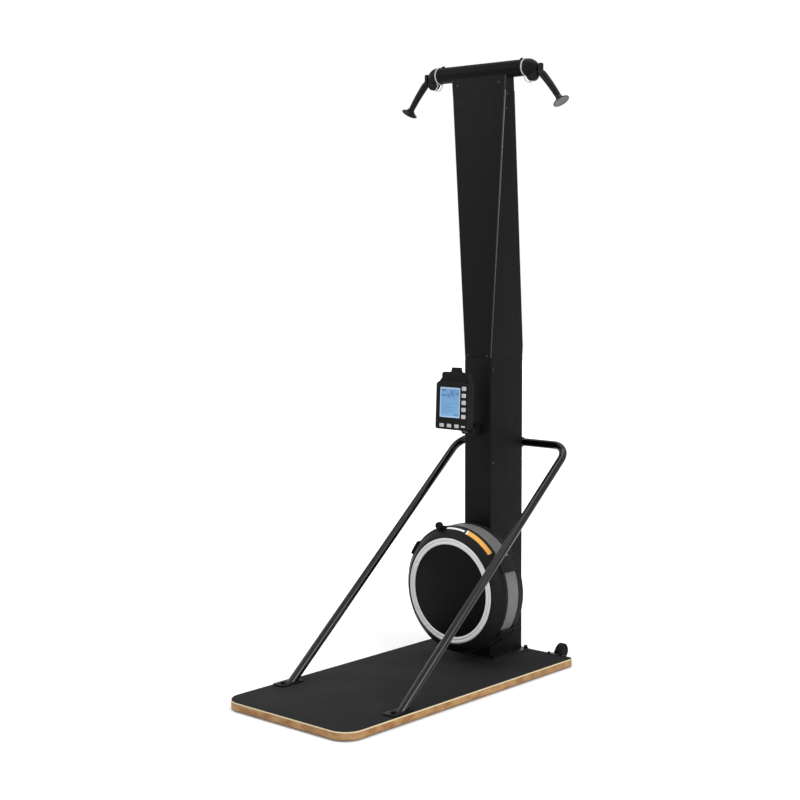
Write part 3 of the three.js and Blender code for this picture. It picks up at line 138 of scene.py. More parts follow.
class Look:
    """A node material with short calls for its usual steps."""

    def __init__(self, name, colour, roughness, specular, metallic=0.0):
        self.material = bpy.data.materials.new(name)
        self.material.use_nodes = True
        self.tree = self.material.node_tree
        self.shader = self.tree.nodes["Principled BSDF"]
        self.colour = colour
        for key, value in (("Base Color", colour), ("Roughness", roughness), ("Metallic", metallic),
                           ("Specular IOR Level", specular)):
            self.shader.inputs[key].default_value = value
        self.coordinates = self.node("TexCoord").outputs["Object"]

    def node(self, kind, inputs=(), **settings):
        return add_node(self.tree, kind, inputs, **settings)

    def to_shader(self, socket, key):
        self.tree.links.new(socket, self.shader.inputs[key])
        return self

    def math(self, operation, *values):
        return self.node("Math", values, operation=operation).outputs[0]

    def vector(self, operation, *values):
        outputs = self.node("VectorMath", values, operation=operation).outputs
        return outputs["Value" if operation == "LENGTH" else "Vector"]

    def noise(self, scale, detail=3.0, stretch=None):
        place = self.vector("MULTIPLY", self.coordinates, stretch) if stretch else self.coordinates
        return self.node("TexNoise", {"Vector": place, "Scale": scale, "Detail": detail}).outputs["Fac"]

    def cells(self, scale):
        return self.node("TexVoronoi", {"Vector": self.coordinates, "Scale": scale}).outputs["Distance"]

    def axes(self):
        return self.node("SeparateXYZ", (self.coordinates,)).outputs

    def span(self, value, low, high, to_low=0.0, to_high=1.0):
        return self.node("MapRange", (value, low, high, to_low, to_high)).outputs[0]

    def along(self, node, axis):
        """From 0 to 1 across a CAD node, along an axis."""
        low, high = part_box(node)
        return self.span(self.axes()[axis], low[axis], high[axis])

    def turn(self):
        """The angle about the drum's axle, from the right."""
        across, _, up = self.axes()
        return self.math("ARCTAN2", self.math("SUBTRACT", up, DRUM.z), across)

    def near(self, value, middle, half):
        """1 where a value is less than half away from the middle."""
        return self.math("LESS_THAN", self.math("ABSOLUTE", self.math("SUBTRACT", value, middle)), half)

    def mixed(self, factor, a, b):
        return self.node("Mix", {0: factor, 6: a, 7: b}, data_type="RGBA").outputs[2]

    def paint(self, socket):
        return self.to_shader(socket, "Base Color")

    def vary(self, scale, amount):
        """Light and dark drift of the base colour."""
        dark, light = (tuple(min(c * share, 1) for c in self.colour[:3]) + (1,) for share in (1 - amount, 1 + amount))
        return self.paint(self.mixed(self.noise(scale), dark, light))

    def gloss(self, scale, low, high, stretch=None):
        return self.to_shader(self.span(self.noise(scale, 2.0, stretch), 0.3, 0.7, low, high), "Roughness")

    def bump(self, height, strength, distance):
        """Relief on top of what is there."""
        inputs = {"Height": height, "Strength": strength, "Distance": distance}
        normal = self.shader.inputs["Normal"]
        if normal.is_linked:
            inputs["Normal"] = normal.links[0].from_socket
        return self.to_shader(self.node("Bump", inputs).outputs[0], "Normal")


DRUM = box_of("trim_ring")[2]
# Radii where the painted shade on the drum's flat disc gives way to the lighter, lit bevel and rim
SHADED_DISC_EDGE = (0.18, 0.185)
PLIES = 9
# Half the angle of the painted shade, black, round the bottom of the mesh band
SHADED_BOTTOM_HALF = radians(52)
# Where the strip's corner, break and rule start
SCALE_EDGES = (radians(73.5), radians(75.2), radians(77.5))
# Left, right, base and top of each bar and rule, as shares of the screen
SCREEN_MARKS = (
    (0.06, 0.94, 0.465, 0.478), (0.06, 0.30, 0.86, 0.94), (0.36, 0.46, 0.66, 0.80),
    (0.49, 0.52, 0.60, 0.96), (0.55, 0.66, 0.70, 0.90), (0.70, 0.73, 0.60, 0.96),
    (0.77, 0.94, 0.76, 0.82), (0.06, 0.30, 0.70, 0.76), (0.10, 0.62, 0.385, 0.40),
    (0.10, 0.78, 0.325, 0.34), (0.10, 0.55, 0.265, 0.28), (0.10, 0.70, 0.205, 0.22),
    (0.10, 0.48, 0.145, 0.16), (0.70, 0.94, 0.08, 0.12),
)


def coated(name, level, roughness, specular):
    """Powder coat with a fine peel."""
    look = Look(name, srgb(*level), roughness, specular)
    look.vary(6.0, 0.12).gloss(30.0, roughness - 0.05, roughness + 0.07)
    return look.bump(look.noise(700.0, 2.0), 0.35, 0.00015).material


def moulded(name, level, roughness, specular, grain=900.0, depth=0.00018):
    """Plastic or rubber with a pebbled grain."""
    look = Look(name, srgb(*level), roughness, specular)
    look.vary(9.0, 0.14).gloss(40.0, roughness - 0.06, roughness + 0.06)
    return look.bump(look.cells(grain), 0.4, depth).material


def metal(name, level, low, high, scale, stretch=(1.0, 1.0, 1.0)):
    """Bare metal whose roughness drifts from low to high."""
    look = Look(name, srgb(*level), (low + high) / 2, 0.5, 1.0)
    look.vary(20.0, 0.08).gloss(scale, low, high, stretch)
    return look.bump(look.noise(scale, 2.0, stretch), 0.12, 0.0001).material


def trim_look():
    look = Look("trim_silver", srgb(218, 218, 219), 0.42, 0.5)
    look.vary(12.0, 0.04).gloss(60.0, 0.36, 0.48)
    return look.bump(look.noise(1200.0, 2.0), 0.25, 0.0001).material


def cord_look():
    look = Look("braided_cord", srgb(52), 0.75, 0.3).vary(300.0, 0.3)
    return look.bump(look.noise(900.0, 2.0, (1.0, 1.0, 2.5)), 0.6, 0.0005).material


def tyre_look():
    look = Look("wheel_rubber", srgb(30), 0.75, 0.07).vary(40.0, 0.2)
    return look.bump(look.noise(500.0), 0.4, 0.0003).material


def deck_look():
    """Crumb rubber."""
    look = Look("deck_rubber", srgb(35, 35, 36), 0.85, 0.06)
    look.paint(look.mixed(look.span(look.noise(420.0, 4.0), 0.35, 0.65), srgb(30, 30, 31), srgb(41, 41, 42)))
    return look.bump(look.cells(650.0), 0.6, 0.0004).gloss(5.0, 0.76, 0.88).material


def plywood_look():
    """Birch ply seen on edge: mottled plies, a pale strip along the top that is a painted highlight, and a dark lower
    edge.
    """
    look = Look("plywood", srgb(165, 124, 80), 0.55, 0.2)
    height = look.along("platform_board", 2)
    wobble = look.math("MULTIPLY", look.math("SUBTRACT", look.noise(14.0), 0.5), 0.06)
    place = look.math("MULTIPLY", look.math("ADD", height, wobble), PLIES)
    band = look.math("PINGPONG", place, 1.0)
    grain = look.noise(60.0, 6.0, (0.25, 0.25, 12.0))
    mottle = look.span(look.noise(22.0, 4.0, (1.0, 1.0, 2.0)), 0.38, 0.62)
    ply = look.mixed(mottle, srgb(156, 112, 70), srgb(194, 156, 106))
    grained = look.mixed(look.math("MULTIPLY", grain, 0.5), ply, srgb(132, 92, 60))
    sheet = look.mixed(look.math("MULTIPLY", band, 0.25), grained, srgb(120, 84, 54))
    # Painted highlight: the top of the edge is painted pale, where light from above catches it
    face = look.mixed(look.span(height, 0.84, 0.88), sheet, srgb(216, 202, 166))
    look.paint(look.mixed(look.span(height, 0.06, 0.12), srgb(84, 62, 42), face))
    return look.bump(grain, 0.25, 0.0004).bump(band, 0.2, 0.0003).material


def drum_look():
    """Black moulding in two tones: painted shade makes it darkest on the flat disc inside the trim ring, and the bevel
    and rim are painted lighter for the light from above.
    """
    look = Look("drum_black", srgb(14), 0.44, 0.06)
    spread = look.vector("MULTIPLY", look.vector("SUBTRACT", look.coordinates, DRUM), (1, 0, 1))
    rim = look.span(look.vector("LENGTH", spread), *SHADED_DISC_EDGE)
    drift = look.noise(9.0)
    # Painted shade and light: the flat disc is painted dark, the bevel and rim lighter as if lit from above
    look.paint(look.mixed(rim, look.mixed(drift, srgb(7), srgb(10)), look.mixed(drift, srgb(24), srgb(29))))
    return look.gloss(40.0, 0.4, 0.5).bump(look.cells(700.0), 0.4, 0.00018).material


def scale_look():
    """A white rule on black, a white corner, then orange with paler lines and a tick every few degrees."""
    pitch, softness = radians(6.4), 0.004
    look = Look("damper_strip", srgb(226, 160, 70), 0.4, 0.25)
    across = look.along("damper_scale", 1)
    turn = look.turn()
    ticks = look.math("PINGPONG", look.math("DIVIDE", turn, pitch), 0.5)
    tick = look.math("MULTIPLY", look.math("LESS_THAN", ticks, 0.03), look.math("LESS_THAN", across, 0.5))
    drift = look.mixed(look.noise(40.0), srgb(216, 150, 56), srgb(232, 174, 84))
    pale = look.math("MULTIPLY", look.near(across, 0.42, 0.08), 0.6)
    orange = look.mixed(pale, drift, srgb(238, 206, 132))
    colour = look.mixed(look.math("MULTIPLY", tick, 0.5), orange, srgb(170, 96, 36))
    rule = look.mixed(look.near(across, 0.42, 0.2), srgb(16), srgb(236))
    for edge, beyond in zip(SCALE_EDGES, (srgb(228), srgb(16), rule)):
        colour = look.mixed(look.span(turn, edge, edge + softness), colour, beyond)
    return look.paint(colour).bump(look.noise(600.0, 2.0), 0.2, 0.0001).material


def screen_look():
    """A backlit display with plain bars and rules, and no characters."""
    look = Look("display", srgb(104, 146, 184), 0.3, 0.15)
    u, v = look.along("monitor_screen", 0), look.along("monitor_screen", 2)
    glow = look.mixed(v, srgb(112, 158, 196), srgb(96, 136, 178))
    tinted = look.mixed(look.noise(30.0, 2.0), glow, srgb(108, 150, 188))
    mask = 0.0
    for left, right, base, top in SCREEN_MARKS:
        across = look.near(u, (left + right) / 2, (right - left) / 2)
        upward = look.near(v, (base + top) / 2, (top - base) / 2)
        mask = look.math("MAXIMUM", mask, look.math("MULTIPLY", across, upward))
    marked = look.mixed(look.math("MULTIPLY", mask, 0.62), tinted, srgb(62, 88, 124))
    from_edge = look.math("MINIMUM", look.math("PINGPONG", u, 0.5), look.math("PINGPONG", v, 0.5))
    colour = look.mixed(look.span(from_edge, 0.03, 0.06, 0.75, 0.0), marked, srgb(170, 190, 208))
    look.paint(colour).to_shader(colour, "Emission Color")
    look.shader.inputs["Emission Strength"].default_value = 0.3
    return look.material


def band_look():
    """Perforated sheet round the drum, with staggered round holes, and painted shade at the bottom, where the band is
    painted black.
    """
    pitch, share, softness = 0.0038, 0.33, 0.03
    low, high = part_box("mesh_band")
    look = Look("band_metal", srgb(150), 0.5, 0.3)
    turn = look.turn()
    holes = round(pi * (high.z - low.z) / pitch)
    around = look.math("MULTIPLY", turn, holes / (2 * pi))
    along = look.math("DIVIDE", look.axes()[1], pitch * sqrt(3))
    nearest = 1.0
    for shift in (0.0, 0.5):
        cell = []
        for place, stretch in ((around, 1.0), (along, sqrt(3))):
            whole = look.math("FRACT", look.math("ADD", place, shift))
            cell.append(look.math("MULTIPLY", look.math("SUBTRACT", whole, 0.5), stretch))
        reach = look.vector("LENGTH", look.node("CombineXYZ", cell).outputs[0])
        nearest = look.math("MINIMUM", nearest, reach)
    sheet = look.span(nearest, share - softness, share + softness)
    drift = look.mixed(look.noise(20.0), srgb(122), srgb(140))
    # Painted shade: the band is painted black round its bottom, where it lies in shadow
    shaded_bottom = look.near(turn, -QUARTER, SHADED_BOTTOM_HALF)
    look.paint(look.mixed(shaded_bottom, look.mixed(sheet, srgb(30), drift), srgb(16)))
    return look.gloss(60.0, 0.45, 0.6).bump(sheet, 0.8, 0.0005).material


looks = {
    "column": coated("powder_coat", (15, 15, 16), 0.46, 0.06),
    "bar": coated("bar_coat", (15, 15, 16), 0.48, 0.04),
    "tube": coated("tube_coat", (5, 5, 6), 0.16, 0.3),
    "gloss": coated("gloss_coat", (14, 14, 15), 0.3, 0.5),
    "plastic": moulded("moulded_black", (16, 16, 17), 0.5, 0.07),
    "drum": drum_look(),
    "grip": moulded("grip_rubber", (16, 16, 17), 0.44, 0.1, 1100.0),
    "dish": moulded("grip_end", (96, 96, 100), 0.5, 0.2, 1100.0),
    "rubber": tyre_look(),
    "deck": deck_look(),
    "wood": plywood_look(),
    "trim": trim_look(),
    "ring": moulded("ring_grey", (176, 176, 178), 0.5, 0.2, 1500.0, 0.00008),
    "steel": metal("plated_steel", (168, 168, 172), 0.28, 0.42, 90.0, (1.0, 1.0, 14.0)),
    "bolt": metal("black_bolt", (70, 70, 72), 0.35, 0.5, 200.0),
    "mesh": band_look(),
    "scale": scale_look(),
    "screen": screen_look(),
    "button": moulded("button_grey", (182, 182, 184), 0.5, 0.3, 1500.0, 0.00008),
    "cord": cord_look(),
    "aluminium": metal("cast_aluminium", (150, 152, 156), 0.35, 0.5, 150.0),
}

# CAD nodes with their finish
for node in nodes.values():
    node.data.materials[0] = looks[node.data.materials[0].name.split(".")[0]]
for name, look in (("support_frame", "tube"), ("crossbar", "bar"), ("drum_rear_shell", "drum"),
                   ("drum_front_cover", "drum"), ("damper_lever", "drum")):
    nodes[name].data.materials[0] = looks[look]


# Meshes and pieces
WELD = 1e-6


def edited(mesh, step):
    """The mesh after a step of mesh editing."""
    work = bmesh.new()
    work.from_mesh(mesh)
    step(work)
    work.to_mesh(mesh)
    work.free()
    return mesh


def weld(work):
    bmesh.ops.remove_doubles(work, verts=work.verts, dist=WELD)
    bmesh.ops.recalc_face_normals(work, faces=work.faces)


def close_slivers(work):
    bmesh.ops.holes_fill(work, edges=[e for e in work.edges if e.is_boundary], sides=0)


def evaluated(holder):
    """The mesh that an object's curve or modifiers give. The object is removed."""
    bpy.context.view_layer.update()
    mesh = bpy.data.meshes.new_from_object(holder.evaluated_get(bpy.context.evaluated_depsgraph_get()))
    bpy.data.objects.remove(holder)
    return mesh


def moved(mesh, matrix):
    mesh.transform(matrix)
    if matrix.determinant() < 0:
        mesh.flip_normals()
    return mesh


def turned(mesh, direction, place):
    """A mesh that is laid out along Z, turned to a direction and put in its place."""
    turn = Z.rotation_difference(Vector(direction)).to_matrix().to_4x4()
    return moved(mesh, Matrix.Translation(Vector(place)) @ turn)


def mirrored(mesh):
    return moved(mesh.copy(), Matrix.Scale(-1, 4, X))


def circle(sides):
    """Cosine and sine of equal steps round a circle."""
    return [(cos(a), sin(a)) for a in (2 * pi * k / sides for k in range(sides))]


def loft(rings, closed=False, capped=True):
    """A surface through rings that have the same number of points."""
    count = len(rings[0])
    steps = [(i, (i + 1) % len(rings)) for i in range(len(rings) if closed else len(rings) - 1)]
    faces = [(i * count + k, i * count + (k + 1) % count, j * count + (k + 1) % count, j * count + k)
             for i, j in steps for k in range(count)]
    if capped:
        last = (len(rings) - 1) * count
        faces += [tuple(reversed(range(count))), tuple(range(last, last + count))]
    mesh = bpy.data.meshes.new("form")
    mesh.from_pydata([tuple(p) for ring in rings for p in ring], [], faces)
    return edited(mesh, weld)


def lathe(profile, sides=96, direction=Z, centre=(0, 0, 0)):
    """A closed surface turned about a line. The profile is (radius, place along the line) and ends on the
    line, or closes on itself."""
    closed = profile[0] == profile[-1]
    rings = [[(radius * c, radius * s, place) for c, s in circle(sides)]
             for radius, place in (profile[:-1] if closed else profile)]
    return turned(loft(rings, closed, False), direction, centre)


def sweep(points, radius, sides):
    """A round section carried along points."""
    points = [Vector(p) for p in points]
    rings = []
    normal = None
    for k, p in enumerate(points):
        tangent = (points[min(k + 1, len(points) - 1)] - points[max(k - 1, 0)]).normalized()
        if normal is None:
            normal = Y if abs(tangent.y) < 0.9 else X
        normal = (normal - tangent * normal.dot(tangent)).normalized()
        side = tangent.cross(normal)
        rings.append([p + normal * radius * c + side * radius * s for c, s in circle(sides)])
    return loft(rings)


def rounded(points, radius, steps=5):
    """A profile or outline whose inner corners are rounded."""
    closed = points[0] == points[-1]
    work = [Vector(p) for p in (points[:-1] if closed else points)]
    out = []
    for i, p in enumerate(work):
        if not closed and i in (0, len(work) - 1):
            out.append(p)
            continue
        a = work[i - 1] - p
        b = work[(i + 1) % len(work)] - p
        reach = min(radius, a.length * 0.45, b.length * 0.45)
        start = p + a.normalized() * reach
        end = p + b.normalized() * reach
        for t in (k / steps for k in range(steps + 1)):
            out.append(start * (1 - t) ** 2 + p * 2 * t * (1 - t) + end * t * t)
    if closed:
        out.append(out[0])
    return [tuple(p) for p in out]


def quadratic(start, control, end, steps=8):
    return [tuple((1 - t) ** 2 * a + 2 * t * (1 - t) * b + t * t * c for a, b, c in zip(start, control, end))
            for t in (k / steps for k in range(steps + 1))]


def arc_points(centre, radius, start, end, steps):
    return [(centre[0] + radius * cos(start + (end - start) * k / steps),
             centre[1] + radius * sin(start + (end - start) * k / steps)) for k in range(steps + 1)]


def corner_arcs(corners):
    """An outline from the centre, radius and steps of each corner, from the upper right to the left and round."""
    return [p for k, (x, y, radius, steps) in enumerate(corners)
            for p in arc_points((x, y), radius, k * QUARTER, (k + 1) * QUARTER, steps)]


def rounded_box(width, height, radius, centre=(0, 0)):
    return corner_arcs([(centre[0] + sx * (width / 2 - radius), centre[1] + sy * (height / 2 - radius), radius, 8)
                        for sx, sy in ((1, 1), (-1, 1), (-1, -1), (1, -1))])


def both_sides(right):
    """An outline from its right half."""
    return right + [(-x, z) for x, z in reversed(right)]


def plate(outline, thickness, edge, matrix):
    """A flat piece with rounded edges, from its lowest face up along the matrix's Z."""
    curve = bpy.data.curves.new("plate", "CURVE")
    curve.dimensions = "2D"
    curve.fill_mode = "BOTH"
    spline = curve.splines.new("POLY")
    spline.points.add(len(outline) - 1)
    for point, place in zip(spline.points, outline):
        point.co = (place[0], place[1], 0, 1)
    spline.use_cyclic_u = True
    curve.extrude = thickness / 2 - edge
    curve.bevel_depth = edge
    curve.bevel_resolution = 2
    curve.offset = -edge
    mesh = edited(evaluated(shown("plate", curve)), weld)
    return moved(mesh, matrix @ Matrix.Translation((0, 0, thickness / 2)))


def flat_at(level):
    return Matrix.Translation((0, 0, level))


def facing(front):
    """Turns a plate's outline into XZ, with its lowest face at the front and its depth along +Y."""
    return Matrix(((1, 0, 0, 0), (0, 0, 1, front), (0, 1, 0, 0), (0, 0, 0, 1)))


def sideways(left):
    """Turns a plate's outline into YZ, with its depth along +X."""
    return Matrix(((0, 0, 1, left), (1, 0, 0, 0), (0, 1, 0, 0), (0, 0, 0, 1)))


def upright_plate(width, height, corner, centre, front, thickness, edge):
    return plate(rounded_box(width, height, corner, centre), thickness, edge, facing(front))


def rod(radius, start, end, direction, centre, edge=0.0, sides=64):
    """A round rod with rounded rims."""
    profile = [(0, start), (radius, start), (radius, end), (0, end)]
    return lathe(rounded(profile, edge, 4) if edge else profile, sides, direction, centre)


def tube(inner, outer, start, end, direction, centre, edge, sides=128):
    profile = [(inner, start), (outer, start), (outer, end), (inner, end), (inner, start)]
    return lathe(rounded(profile, edge, 3), sides, direction, centre)


def hexagon(radius, height, place):
    """An upright bolt head."""
    chamfer = radius * 0.12
    return lathe([(0, 0), (radius, 0), (radius, height - chamfer), (radius - chamfer, height), (0, height)],
                 6, Z, place)


def joined(*meshes):
    """Several meshes as one, each part still its own closed surface."""
    work = bmesh.new()
    for mesh in meshes:
        work.from_mesh(mesh)
    out = bpy.data.meshes.new("form")
    work.to_mesh(out)
    work.free()
    return out


def combined(mesh, other, operation="UNION"):
    """A boolean of two meshes, closed where it leaves a sliver open."""
    base, tool = shown("base", mesh), shown("tool", other)
    step = base.modifiers.new("step", "BOOLEAN")
    step.operation = operation
    step.solver = "EXACT"
    step.object = tool
    out = evaluated(base)
    bpy.data.objects.remove(tool)
    return edited(out, close_slivers)


def without(mesh, *cutters):
    """What the cutters leave of a mesh."""
    for cutter in cutters:
        mesh = combined(mesh, cutter, "DIFFERENCE")
    return mesh


def softened(mesh, voxel, repeats):
    """One skin over joined forms, with the inner corners run out as in a moulding."""
    holder = shown("soft", mesh)
    skin = holder.modifiers.new("skin", "REMESH")
    skin.mode = "VOXEL"
    skin.voxel_size = voxel
    ease = holder.modifiers.new("ease", "SMOOTH")
    ease.factor = 0.5
    ease.iterations = repeats
    return evaluated(holder)


def finished(name, mesh, look, body="frame", replaces=(), slot=None, angle=35):
    """A mesh as a piece: shaded, with its look, on its body and standing for its CAD nodes."""
    piece = shown(name, mesh)
    mesh.materials.clear()
    mesh.materials.append(looks[look])
    mesh.shade_smooth()
    mesh.set_sharp_from_angle(angle=radians(angle))
    if body:
        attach(piece, body)
    if replaces:
        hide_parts(*replaces)
    return piece


def fine(name, mesh, look, body="frame", **more):
    """A piece that stands for the CAD node of that name, where there is one."""
    return finished(f"fine_{name}", mesh, look, body, (name,) if name in nodes else (), **more)


def pair(stem, mesh, look, body="frame", **more):
    """The right piece and its mirror image on the left, on bodies that end in their side."""
    for side, sign in SIDES:
        rides = f"{body}_{side}" if f"{body}_{side}" in frame["bodies"] else body
        fine(f"{stem}_{side}", mesh.copy() if sign > 0 else mirrored(mesh), look, rides, **more)


def screw(name, place, direction, look, radius, height, slot=None):
    """A button head with a hexagon socket. Outline, levels and socket are shares of its radius and height."""
    sides, socket, levels, outline = 24, 0.44, (1, 0.35), ((1, 0), (1, 0.35), (0.86, 0.8), (0.55, 1))
    ring = circle(sides)
    rings = [[(radius * share * c, radius * share * s, height * up) for c, s in ring] for share, up in outline]
    twelfth = pi / 6
    flats = [radius * socket / cos((2 * pi * k / sides + twelfth) % (2 * twelfth) - twelfth)
             for k in range(sides)]
    rings += [[(r * c, r * s, height * up) for r, (c, s) in zip(flats, ring)] for up in levels]
    finished(name, turned(loft(rings), direction, place), look, slot=slot, angle=32)


# Sizes that several pieces share, in metres
GAP = 0.0003
CUT = 0.01
PIN_RADIUS = 0.004
PIN_EDGE = 0.0004
BAR_RADIUS = 0.030
BAR_WALL = 0.0025
BAR_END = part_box("crossbar")[1].x
ring_low, ring_high, ring_middle = box_of("bar_ring_right")
BAR_AXIS = Vector((0, ring_middle.y, ring_middle.z))
DECK_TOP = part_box("deck_mat")[1].z
COLUMN_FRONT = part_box("lower_column")[0].y
AXLE = Vector((0, 0, DRUM.z))


# Platform, mat and feet
FOOT_BEVEL = 0.1


def platform_outline(node):
    low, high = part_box(node)
    inset = low.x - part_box("platform_board")[0].x
    front, rear = 0.070 - inset, 0.015 - inset
    return corner_arcs(((high.x - rear, high.y - rear, rear, 10), (low.x + rear, high.y - rear, rear, 10),
                        (low.x + front, low.y + front, front, 24), (high.x - front, low.y + front, front, 24)))


def make_platform():
    for node, look, edge in (("platform_board", "wood", 0.0012), ("deck_mat", "deck", 0.0005)):
        low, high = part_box(node)
        fine(node, plate(platform_outline(node), high.z - low.z, edge, flat_at(low.z)), look)
    for end in ("front", "rear"):
        low, high, middle = box_of(f"foot_{end}_right")
        radius = (high.y - low.y) / 2
        bevel = radius * FOOT_BEVEL
        profile = [(0, low.z), (radius - bevel, low.z), (radius, low.z + bevel), (radius, high.z), (0, high.z)]
        pair(f"foot_{end}", lathe(rounded(profile, 0.0008, 3), 64, Z, (middle.x, middle.y, 0)), "rubber")


# Transport wheels
def make_wheels():
    bore, hub, rim, slope, dish, ease = 0.00435, 0.009, 0.021, 0.002, 0.003, 0.003
    low, high, middle = box_of("transport_wheel_right")
    radius = (high.z - low.z) / 2
    half = (high.x - low.x) / 2
    face = [(bore, half), (hub, half), (hub + slope, half - dish),
            (rim, half - dish), (rim, half), (radius - ease, half), (radius, half - ease)]
    profile = [(r, -x) for r, x in face] + [(r, x) for r, x in reversed(face)]
    mesh = lathe(rounded(profile + [profile[0]], 0.0009, 3), 96, X, middle)
    pair("transport_wheel", mesh, "rubber", "transport_wheel")


# Forks of the wheels: a back plate, two cheeks with a pin, and a flange on the deck with its bolts
def make_forks():
    sheet, edge, top, ease, top_span = 0.003, 0.0006, 0.060, 0.009, (0.002, 0.014)
    depth, bolt, inset, reach = 0.020, (0.0055, 0.0035), 0.008, 0.028
    low, high, middle = box_of("wheel_bracket_right")
    wheel_low, wheel_high, axle = box_of("transport_wheel_right")
    width = high.x - low.x
    back = upright_plate(width, DECK_TOP - low.z, 0.003, (middle.x, (DECK_TOP + low.z) / 2), low.y, sheet, edge)
    start = low.y + sheet / 2
    outline = [*arc_points((axle.y, axle.z), ease, -QUARTER / 2, QUARTER, 12),
               *((axle.y - back_by, top) for back_by in top_span),
               (start, DECK_TOP + sheet), (start, low.z + sheet)]
    inner = (wheel_high.x - wheel_low.x) / 2 + GAP
    cheeks = [plate(outline, sheet, edge, sideways(x)) for x in (axle.x + inner, axle.x - inner - sheet)]
    pin = rod(PIN_RADIUS, -inner - sheet, inner + sheet, X, axle, PIN_EDGE, 48)
    pair("wheel_bracket", joined(back, *cheeks, pin), "column", slot="steel")
    outline = rounded_box(width, depth, 0.004, (axle.x, low.y + sheet - depth / 2))
    pair("wheel_flange", plate(outline, sheet, 0.0008, flat_at(DECK_TOP)), "gloss")
    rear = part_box("deck_mat")[1].y
    bolts = [hexagon(*bolt, (axle.x + x, rear - inset, DECK_TOP + sheet)) for x in (-reach, reach)]
    pair("flange_bolts", joined(*bolts), "bar", angle=25)


# Column foot with its four bolts and washers
def make_column_foot():
    sheet, corner, inset, bolt = 0.004, 0.010, 0.0105, (0.0075, 0.009)
    low, high, middle = box_of("column_foot")
    outline = rounded_box(high.x - low.x, high.y - low.y, corner, middle)
    fine("column_foot", plate(outline, sheet, 0.0006, flat_at(low.z)), "gloss")
    top = low.z + sheet
    radius, thickness = 0.0095, 0.0016
    places = [(x, y) for x in (low.x + inset, high.x - inset) for y in (low.y + inset, high.y - inset)]
    washers = [rod(radius, 0, thickness, Z, (x, y, top), 0.0005) for x, y in places]
    bolts = [hexagon(*bolt, (x, y, top + thickness)) for x, y in places]
    finished("foot_bolts", joined(*washers, *bolts), "bar", angle=25)


# Column of folded sheet, open at the rear where its covers sit
COLUMN_DEPTH = 0.190
COLUMN_WALL = 0.0025
TOP_CORNER = 0.008
SEAM_LEVEL = 1.146
TAPER_LEVEL = 1.180
COLUMN_TOP = 2.183
SIDE_TOP = 2.118
AXLE_HOLE = 0.0143
SADDLE_INSET = 0.001


def share_of(value, low, high):
    return min(max((value - low) / (high - low), 0), 1)


def column_size(level):
    """Half the width and the rear of the column at a level."""
    width, top_width, top_depth = 0.124, 0.259, 0.046
    flare = share_of(level, SEAM_LEVEL, COLUMN_TOP)
    lean = share_of(level, TAPER_LEVEL, COLUMN_TOP)
    half = (width + (top_width - width) * flare) / 2
    return half, COLUMN_FRONT + COLUMN_DEPTH + (top_depth - COLUMN_DEPTH) * lean


def folded_section(level):
    """The sheet's outer line and back along its inner line."""
    corner = 0.004
    half, rear = column_size(level)
    c = corner + (TOP_CORNER - corner) * share_of(level, SEAM_LEVEL, COLUMN_TOP)
    inner = c - COLUMN_WALL
    middle = COLUMN_FRONT + c
    outside = [(half, rear), *arc_points((half - c, middle), c, 0, -QUARTER, 6),
               *arc_points((c - half, middle), c, -QUARTER, -2 * QUARTER, 6), (-half, rear)]
    inside = [(COLUMN_WALL - half, rear), *arc_points((c - half, middle), inner, -2 * QUARTER, -QUARTER, 6),
              *arc_points((half - c, middle), inner, -QUARTER, 0, 6), (half - COLUMN_WALL, rear)]
    return [(x, y, level) for x, y in outside + inside]


def bar_cutter():
    return rod(BAR_RADIUS + GAP, -2 * BAR_END, 2 * BAR_END, X, BAR_AXIS, 0, 160)


def idler_slots():
    width, depth, corner = 0.050, 0.0146, 0.0015
    outline = rounded_box(width, depth, corner, (box_of("idler_right")[2].x, BAR_AXIS.y))
    slot = plate(outline, BAR_AXIS.z - SIDE_TOP + CUT, 0, flat_at(SIDE_TOP - CUT))
    return joined(slot, mirrored(slot))


def polish_folds(mesh):
    """The rounded folds at the front are smoother than the flats beside them."""
    mesh.materials.append(looks["gloss"])
    for face in mesh.polygons:
        if face.normal.y < -0.15 and abs(face.normal.x) > 0.15 and face.center.y < COLUMN_FRONT + TOP_CORNER:
            face.material_index = 1


def make_column():
    low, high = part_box("lower_column")
    hole = rod(AXLE_HOLE, -CUT, CUT, Y, (0, COLUMN_FRONT, DRUM.z))
    fine("lower_column", without(loft([folded_section(low.z), folded_section(high.z)]), hole), "column")
    upper = loft([folded_section(level) for level in (SEAM_LEVEL, TAPER_LEVEL, COLUMN_TOP)])
    front, rear = COLUMN_FRONT + COLUMN_WALL, COLUMN_FRONT + COLUMN_DEPTH
    corners = ((-BAR_END, front), (BAR_END, front), (BAR_END, rear), (-BAR_END, rear))
    rest = loft([[(x, y, level) for x, y in corners] for level in (SIDE_TOP, COLUMN_TOP + CUT)])
    radius, reach = 0.005, 0.0345
    pin = rod(radius, COLUMN_FRONT + COLUMN_WALL / 2, COLUMN_FRONT + reach, Y,
              (0, 0, box_of("return_pulley")[2].z), 0.0005)
    piece = fine("upper_column", joined(without(upper, rest, bar_cutter()), pin), "column")
    polish_folds(piece.data)
    front += GAP
    rings = []
    for level in (SIDE_TOP + GAP, COLUMN_TOP):
        half, rear = (size - SADDLE_INSET for size in column_size(level))
        rings.append([(half, front, level), (half, rear, level), (-half, rear, level), (-half, front, level)])
    fine("top_saddle", without(loft(rings), bar_cutter(), idler_slots()), "plastic")


# Small screws on the column: places across and up on the front, back and up on the sides
FRONT_SCREWS = ((0.097, 2.147), (0.045, 1.1525))
SIDE_SCREWS = ((0.377, 2.105), (0.377, 2.0525), (0.378, 1.104), (0.545, 1.104), (0.3765, 0.760), (0.545, 0.760))
COLUMN_SCREW = (0.0042, 0.0022)


